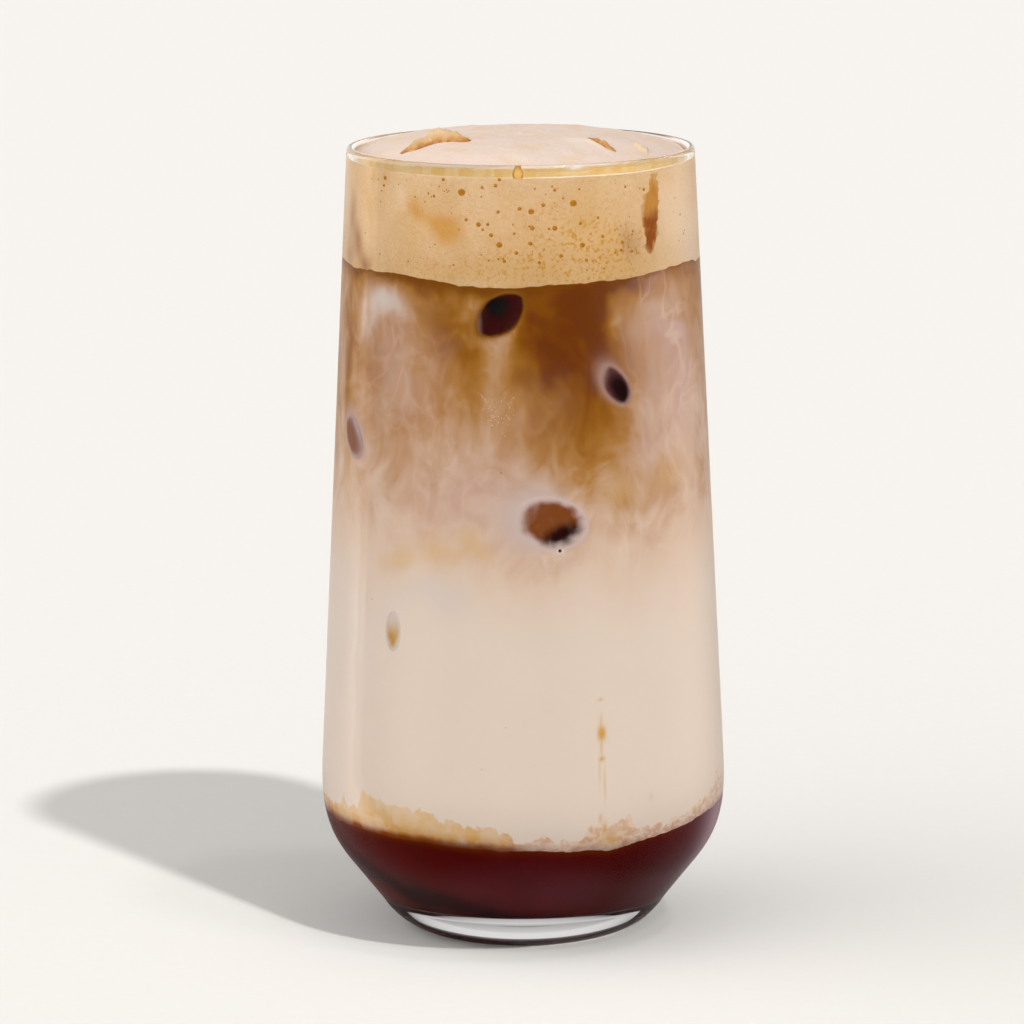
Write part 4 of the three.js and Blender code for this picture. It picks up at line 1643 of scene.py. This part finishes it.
@dataclass(frozen=True)
class WallBeads:
    """Bubbles in the foam, pale froth in the coffee, and a stray bubble under the ice."""

    seed: int = 41
    foam_heights: Point = (130, 146.6)
    speck_radii: Point = (0.08, 0.14)
    swell: float = 1.3
    large: tuple[Triple, ...] = (
        (-19.7, 144.7, 0.62), (3.4, 141.4, 0.5), (17.4, 142.7, 0.58), (-7, 135.3, 0.5), (20.3, 135, 0.46),
        (-13.9, 139, 0.42), (11.1, 138.3, 0.44), (3.7, 138.4, 0.4), (-9.7, 137.1, 0.36), (3.1, 135.6, 0.36),
        (-1.5, 133.9, 0.34), (13, 133.2, 0.36), (-5.4, 132.4, 0.3), (7.3, 142.6, 0.34), (-0.4, 142, 0.34),
        (-7.4, 141.4, 0.3), (11.2, 145.3, 0.3), (-8.3, 146.2, 0.34), (-12.7, 145.8, 0.28),
        (-10.8, 139.1, 0.3), (19.7, 139, 0.3), (27.6, 136.4, 0.3), (34.9, 135, 0.34), (5.9, 132.1, 0.3),
        (21.6, 132.2, 0.3), (-26.3, 147, 0.3), (-51, 146.3, 0.36), (-7, 147.3, 0.3), (-18.1, 139.8, 0.3),
        (34.3, 133.6, 0.3), (38.7, 133.2, 0.28), (44.7, 144.3, 0.3), (26, 139.9, 0.26),
        (-51.5, 144.9, 0.26), (-12.5, 138.1, 0.24),
    )
    stray: tuple[Triple, ...] = (
        (11.5, 78.8, 0.4), (-6.4, 93.4, 0.15), (-52, 67.5, 0.12), (-5, 46, 0.1), (-12, 38, 0.09),
    )

    def scattered(self, rng: random.Random, count: int, azimuths: Point, heights: Point,
                  radii: Point) -> list[Triple]:
        """Draws bubbles between limits.

        Args:
            rng: seeded source of draws.
            count: how many are drawn.
            azimuths: lowest and highest azimuth.
            heights: lowest and highest height.
            radii: smallest and largest radius.

        Returns:
            The azimuth, height and radius of each.
        """
        least, most = radii
        return [(rng.uniform(*azimuths), rng.uniform(*heights), least + (most - least) * rng.random() ** 3)
                for _ in range(count)]

    def build(self) -> None:
        """Builds and places them all."""
        rng = random.Random(self.seed)
        spots = [(azimuth, height, radius * self.swell) for azimuth, height, radius in self.large]
        for count, azimuths, radii in ((90, (-35, 45), (0.1, 0.34)), (45, (-75, -20), (0.08, 0.24)),
                                       (150, (60, 290), (0.08, 0.3))):
            spots += self.scattered(rng, count, azimuths, self.foam_heights, radii)
        lenses("foam_bubbles", Bead("coffee_in_foam_bubble"), spots, Slot.FOAM)
        grains = self.scattered(rng, 60, (34, 43), (132.5, 138.5), (0.07, 0.17))
        dark = Bead("coffee_drop_in_foam", middle="#6E4326", edge="#A97A50", start=0.4, end=1.0)
        lenses("foam_dark_bubbles", dark, grains, Slot.FOAM)
        trail = [(-12.1 + 4.1 * t + rng.gauss(0, 1.1), 108.6 - 6 * t + rng.gauss(0, 0.6),
                  rng.uniform(*self.speck_radii)) for t in (rng.random() for _ in range(34))]
        trail += [(-4.5 + rng.gauss(0, 1.5), 104.4 + rng.gauss(0, 2.2), rng.uniform(*self.speck_radii))
                  for _ in range(22)]
        froth = Bead("milk_froth_speck", middle="#E6D2BA", edge="#CFAE8C", start=0.4)
        lenses("froth_specks", froth, trail, Slot.COFFEE)
        drops = Bead("coffee_drop_stray", middle="#33130C", edge="#4A2014", start=0.6, end=1.0)
        lenses("stray_bubbles", drops, self.stray, Slot.COFFEE)


@dataclass(frozen=True)
class RimFilm:
    """The thin film of foam between the crown and the lip, and one amber drop in it."""

    low: float = 146.7
    thickness: float = 0.04
    gap: float = 0.01
    steps: int = 26
    lip_angles: tuple[float, ...] = (15, 30, 45, 60)
    # Painted highlight: a bright line along the foam's edge, and a glint of the lamp on the lip
    painted_highlight_height: float = 147.6
    painted_highlight_width: float = 0.13
    painted_glint: Patch = Patch(18.6, 149.2, 1.1, 0.22, 1, 3, 3)
    drop: tuple[Triple, ...] = ((-0.9, 148.3, 1.05),)
    drop_stretch: float = 1.25
    drop_depth: float = 0.12

    def profile(self, away: float) -> list[Point]:
        """Gives the film's section, up the wall and a little way round the lip.

        Args:
            away: distance from the glass in millimetres.

        Returns:
            Its (radius, height) points.
        """
        bend = SECTION.height - SECTION.lip_drop
        middle = SECTION.lip_radius - SECTION.lip_thickness / 2
        round_lip = SECTION.lip_drop + away
        turns = [math.radians(angle) for angle in self.lip_angles]
        return [
            *((float(wall_radius(level)) - away, level) for level in np.linspace(self.low, bend, self.steps)),
            *((middle - round_lip * math.cos(turn), bend + round_lip * math.sin(turn)) for turn in turns),
        ]

    def build(self) -> None:
        """Builds and places the film and its drop."""
        outer, inner = self.profile(self.gap), self.profile(self.gap + self.thickness)
        shell = spun([*outer, *reversed(inner), outer[0]], quick(360))
        x, y, z = np.array([point.co for point in shell.verts]).T / MM
        azimuth = np.degrees(np.arctan2(x, -y))
        aside = np.abs(azimuth)
        # painted highlight, brighter towards the right
        painted_highlight_line = self.painted_highlight_height + 0.5 * smooth(35, 85, aside)
        lit = 0.35 + 0.6 * smooth(-12, 20, azimuth)
        notes = {
            "cover": 0.95 * smooth(125, 95, aside),
            # crest: painted highlight where the film turns over the lip
            "crest": smooth(149.15, 149.45, z),
            # line: painted highlight along the foam's edge, with the painted glint on the lip
            "painted_highlight_line": np.maximum(lit * np.exp(-((z - painted_highlight_line) / self.painted_highlight_width) ** 2), self.painted_glint.at(azimuth, z)),
            "side": smooth(62, 90, aside),
        }
        tied(piece_from(shell, "rim_film", DriedResidue().material(), notes), Slot.FOAM)
        amber = Bead("amber_drop_on_glass", middle="#E0AC5E", edge="#C08438", start=0.5, end=1.0)
        lenses("rim_drop", amber, self.drop, Slot.FOAM, self.drop_stretch, self.drop_depth)


# Glass

@dataclass(frozen=True)
class Tumbler:
    """The clear glass, one smooth shell."""

    steps: int = 256
    lip_from: float = 1.2
    lip_full: float = 0.7

    def build(self) -> None:
        """Builds and places the glass."""
        shell = spun(SECTION.outer() + SECTION.lip() + SECTION.inner()[::-1], self.steps)
        below = SECTION.height - np.array([point.co.z for point in shell.verts]) / MM
        notes = {"lip": smooth(self.lip_from, self.lip_full, below)}
        tied(piece_from(shell, "tumbler", PressedGlass().material(), notes), Slot.GLASS, "glass")


# Studio

def direction(azimuth: float, height: float) -> Vector:
    """Gives the way to a place, by degrees to the right of the front and above the level."""
    turn, tilt = math.radians(azimuth), math.radians(height)
    return Vector((math.sin(turn) * math.cos(tilt), -math.cos(turn) * math.cos(tilt), math.sin(tilt)))


@dataclass(frozen=True)
class Lobe:
    """A soft round light in the surroundings: where it stands, how wide it is and how bright, in degrees."""

    azimuth: float
    height: float
    inside: float
    outside: float
    strength: float

    def seen(self, tree: Tree, way: Socket) -> Socket:
        """Gives its brightness by direction.

        Args:
            tree: the surroundings' node tree.
            way: direction of view.

        Returns:
            The brightness.
        """
        near = add(tree, Kind.TOWARDS, way, tuple(direction(self.azimuth, self.height)))
        start, full = (math.cos(math.radians(angle)) for angle in (self.outside, self.inside))
        return add(tree, Kind.EASE, near, start, full, 0.0, self.strength)


@dataclass(frozen=True)
class Lamp:
    """A distant round lamp: where it stands, its strength, and how wide it looks, all angles in degrees."""

    name: str
    azimuth: float
    height: float
    energy: float
    width: float
    tint: Triple = (1, 0.985, 0.965)

    def hang(self) -> None:
        """Hangs the lamp."""
        lamp = bpy.data.lights.new(self.name, "SUN")
        lamp.energy = self.energy
        lamp.angle = math.radians(self.width)
        lamp.color = self.tint
        hung = bpy.data.objects.new(self.name, lamp)
        towards = -direction(self.azimuth, self.height)
        hung.rotation_euler = towards.to_track_quat("-Z", "Y").to_euler()
        bpy.context.scene.collection.objects.link(hung)


@dataclass(frozen=True)
class Studio:
    """The pale floor, soft light and the camera at the photograph's angle."""

    distance: float = 1.0417
    rise: float = 0.2705
    pitch: float = 10.367
    yaw: float = 0.105
    roll: float = -0.256
    focal: float = 195.78
    sensor: float = 36
    farthest: float = 20
    floor_size: float = 8
    air_tint: Colour = (1, 0.992, 0.985, 1)
    air_levels: Point = (0.05, 0.5)
    air_strengths: Point = (0.85, 0.34)
    lamps: tuple[Lamp, ...] = (Lamp("key", 36, 51, 2.25, 2.5), Lamp("overhead", 59, 71, 0.3, 6))
    lobes: tuple[Lobe, ...] = (
        Lobe(-5, 45, 20, 70, 0.38), Lobe(-60, 20, 15, 55, 1.1), Lobe(-88, 20, 15, 55, 1.2),
    )

    def floor(self) -> None:
        """Lays the pale floor."""
        sheet = bmesh.new()
        bmesh.ops.create_grid(sheet, x_segments=2, y_segments=2, size=self.floor_size / 2)
        piece_from(sheet, "studio_floor", PaintedBoard().material())

    def light(self) -> None:
        """Sets the key lamp at the front right, a weak one above, wide soft lights, and pale air."""
        for lamp in self.lamps:
            lamp.hang()
        world = bpy.data.worlds.new("studio")
        bpy.context.scene.world = world
        world.use_nodes = True
        tree = world.node_tree
        tree.nodes.clear()
        way = add(tree, Kind.WAY)
        strength = add(tree, Kind.EASE, add(tree, Kind.UPWARDS, way), *self.air_levels, *self.air_strengths)
        for lobe in self.lobes:
            strength = add(tree, Kind.ADD, strength, lobe.seen(tree, way))
        add(tree, Kind.SURROUNDINGS, add(tree, Kind.AIR, self.air_tint, strength))

    def camera(self) -> None:
        """Sets the camera."""
        lens = bpy.data.cameras.new("camera")
        lens.sensor_width = self.sensor
        lens.lens = self.focal
        lens.clip_end = self.farthest
        view = bpy.data.objects.new("camera", lens)
        bpy.context.scene.collection.objects.link(view)
        stand = Matrix.Translation((0, -self.distance, self.rise))
        for angle, axis in ((self.yaw, "Z"), (90 - self.pitch, "X"), (self.roll, "Z")):
            stand = stand @ Matrix.Rotation(math.radians(angle), 4, axis)
        view.matrix_world = stand
        bpy.context.scene.camera = view
        bpy.context.scene.view_settings.view_transform = "Standard"

    def build(self) -> None:
        """Builds the whole studio."""
        self.floor()
        self.light()
        self.camera()


def main() -> None:
    """Builds every piece in order and reports it."""
    layers = (Tumbler(), SyrupLayer(), LatteBody(), FoamCrown())
    for part in (Studio(), *layers, *WINDOW_CUBES, *RISEN_CUBES, WallBeads(), RimFilm()):
        part.build()


if __name__ == "__main__":
    main()
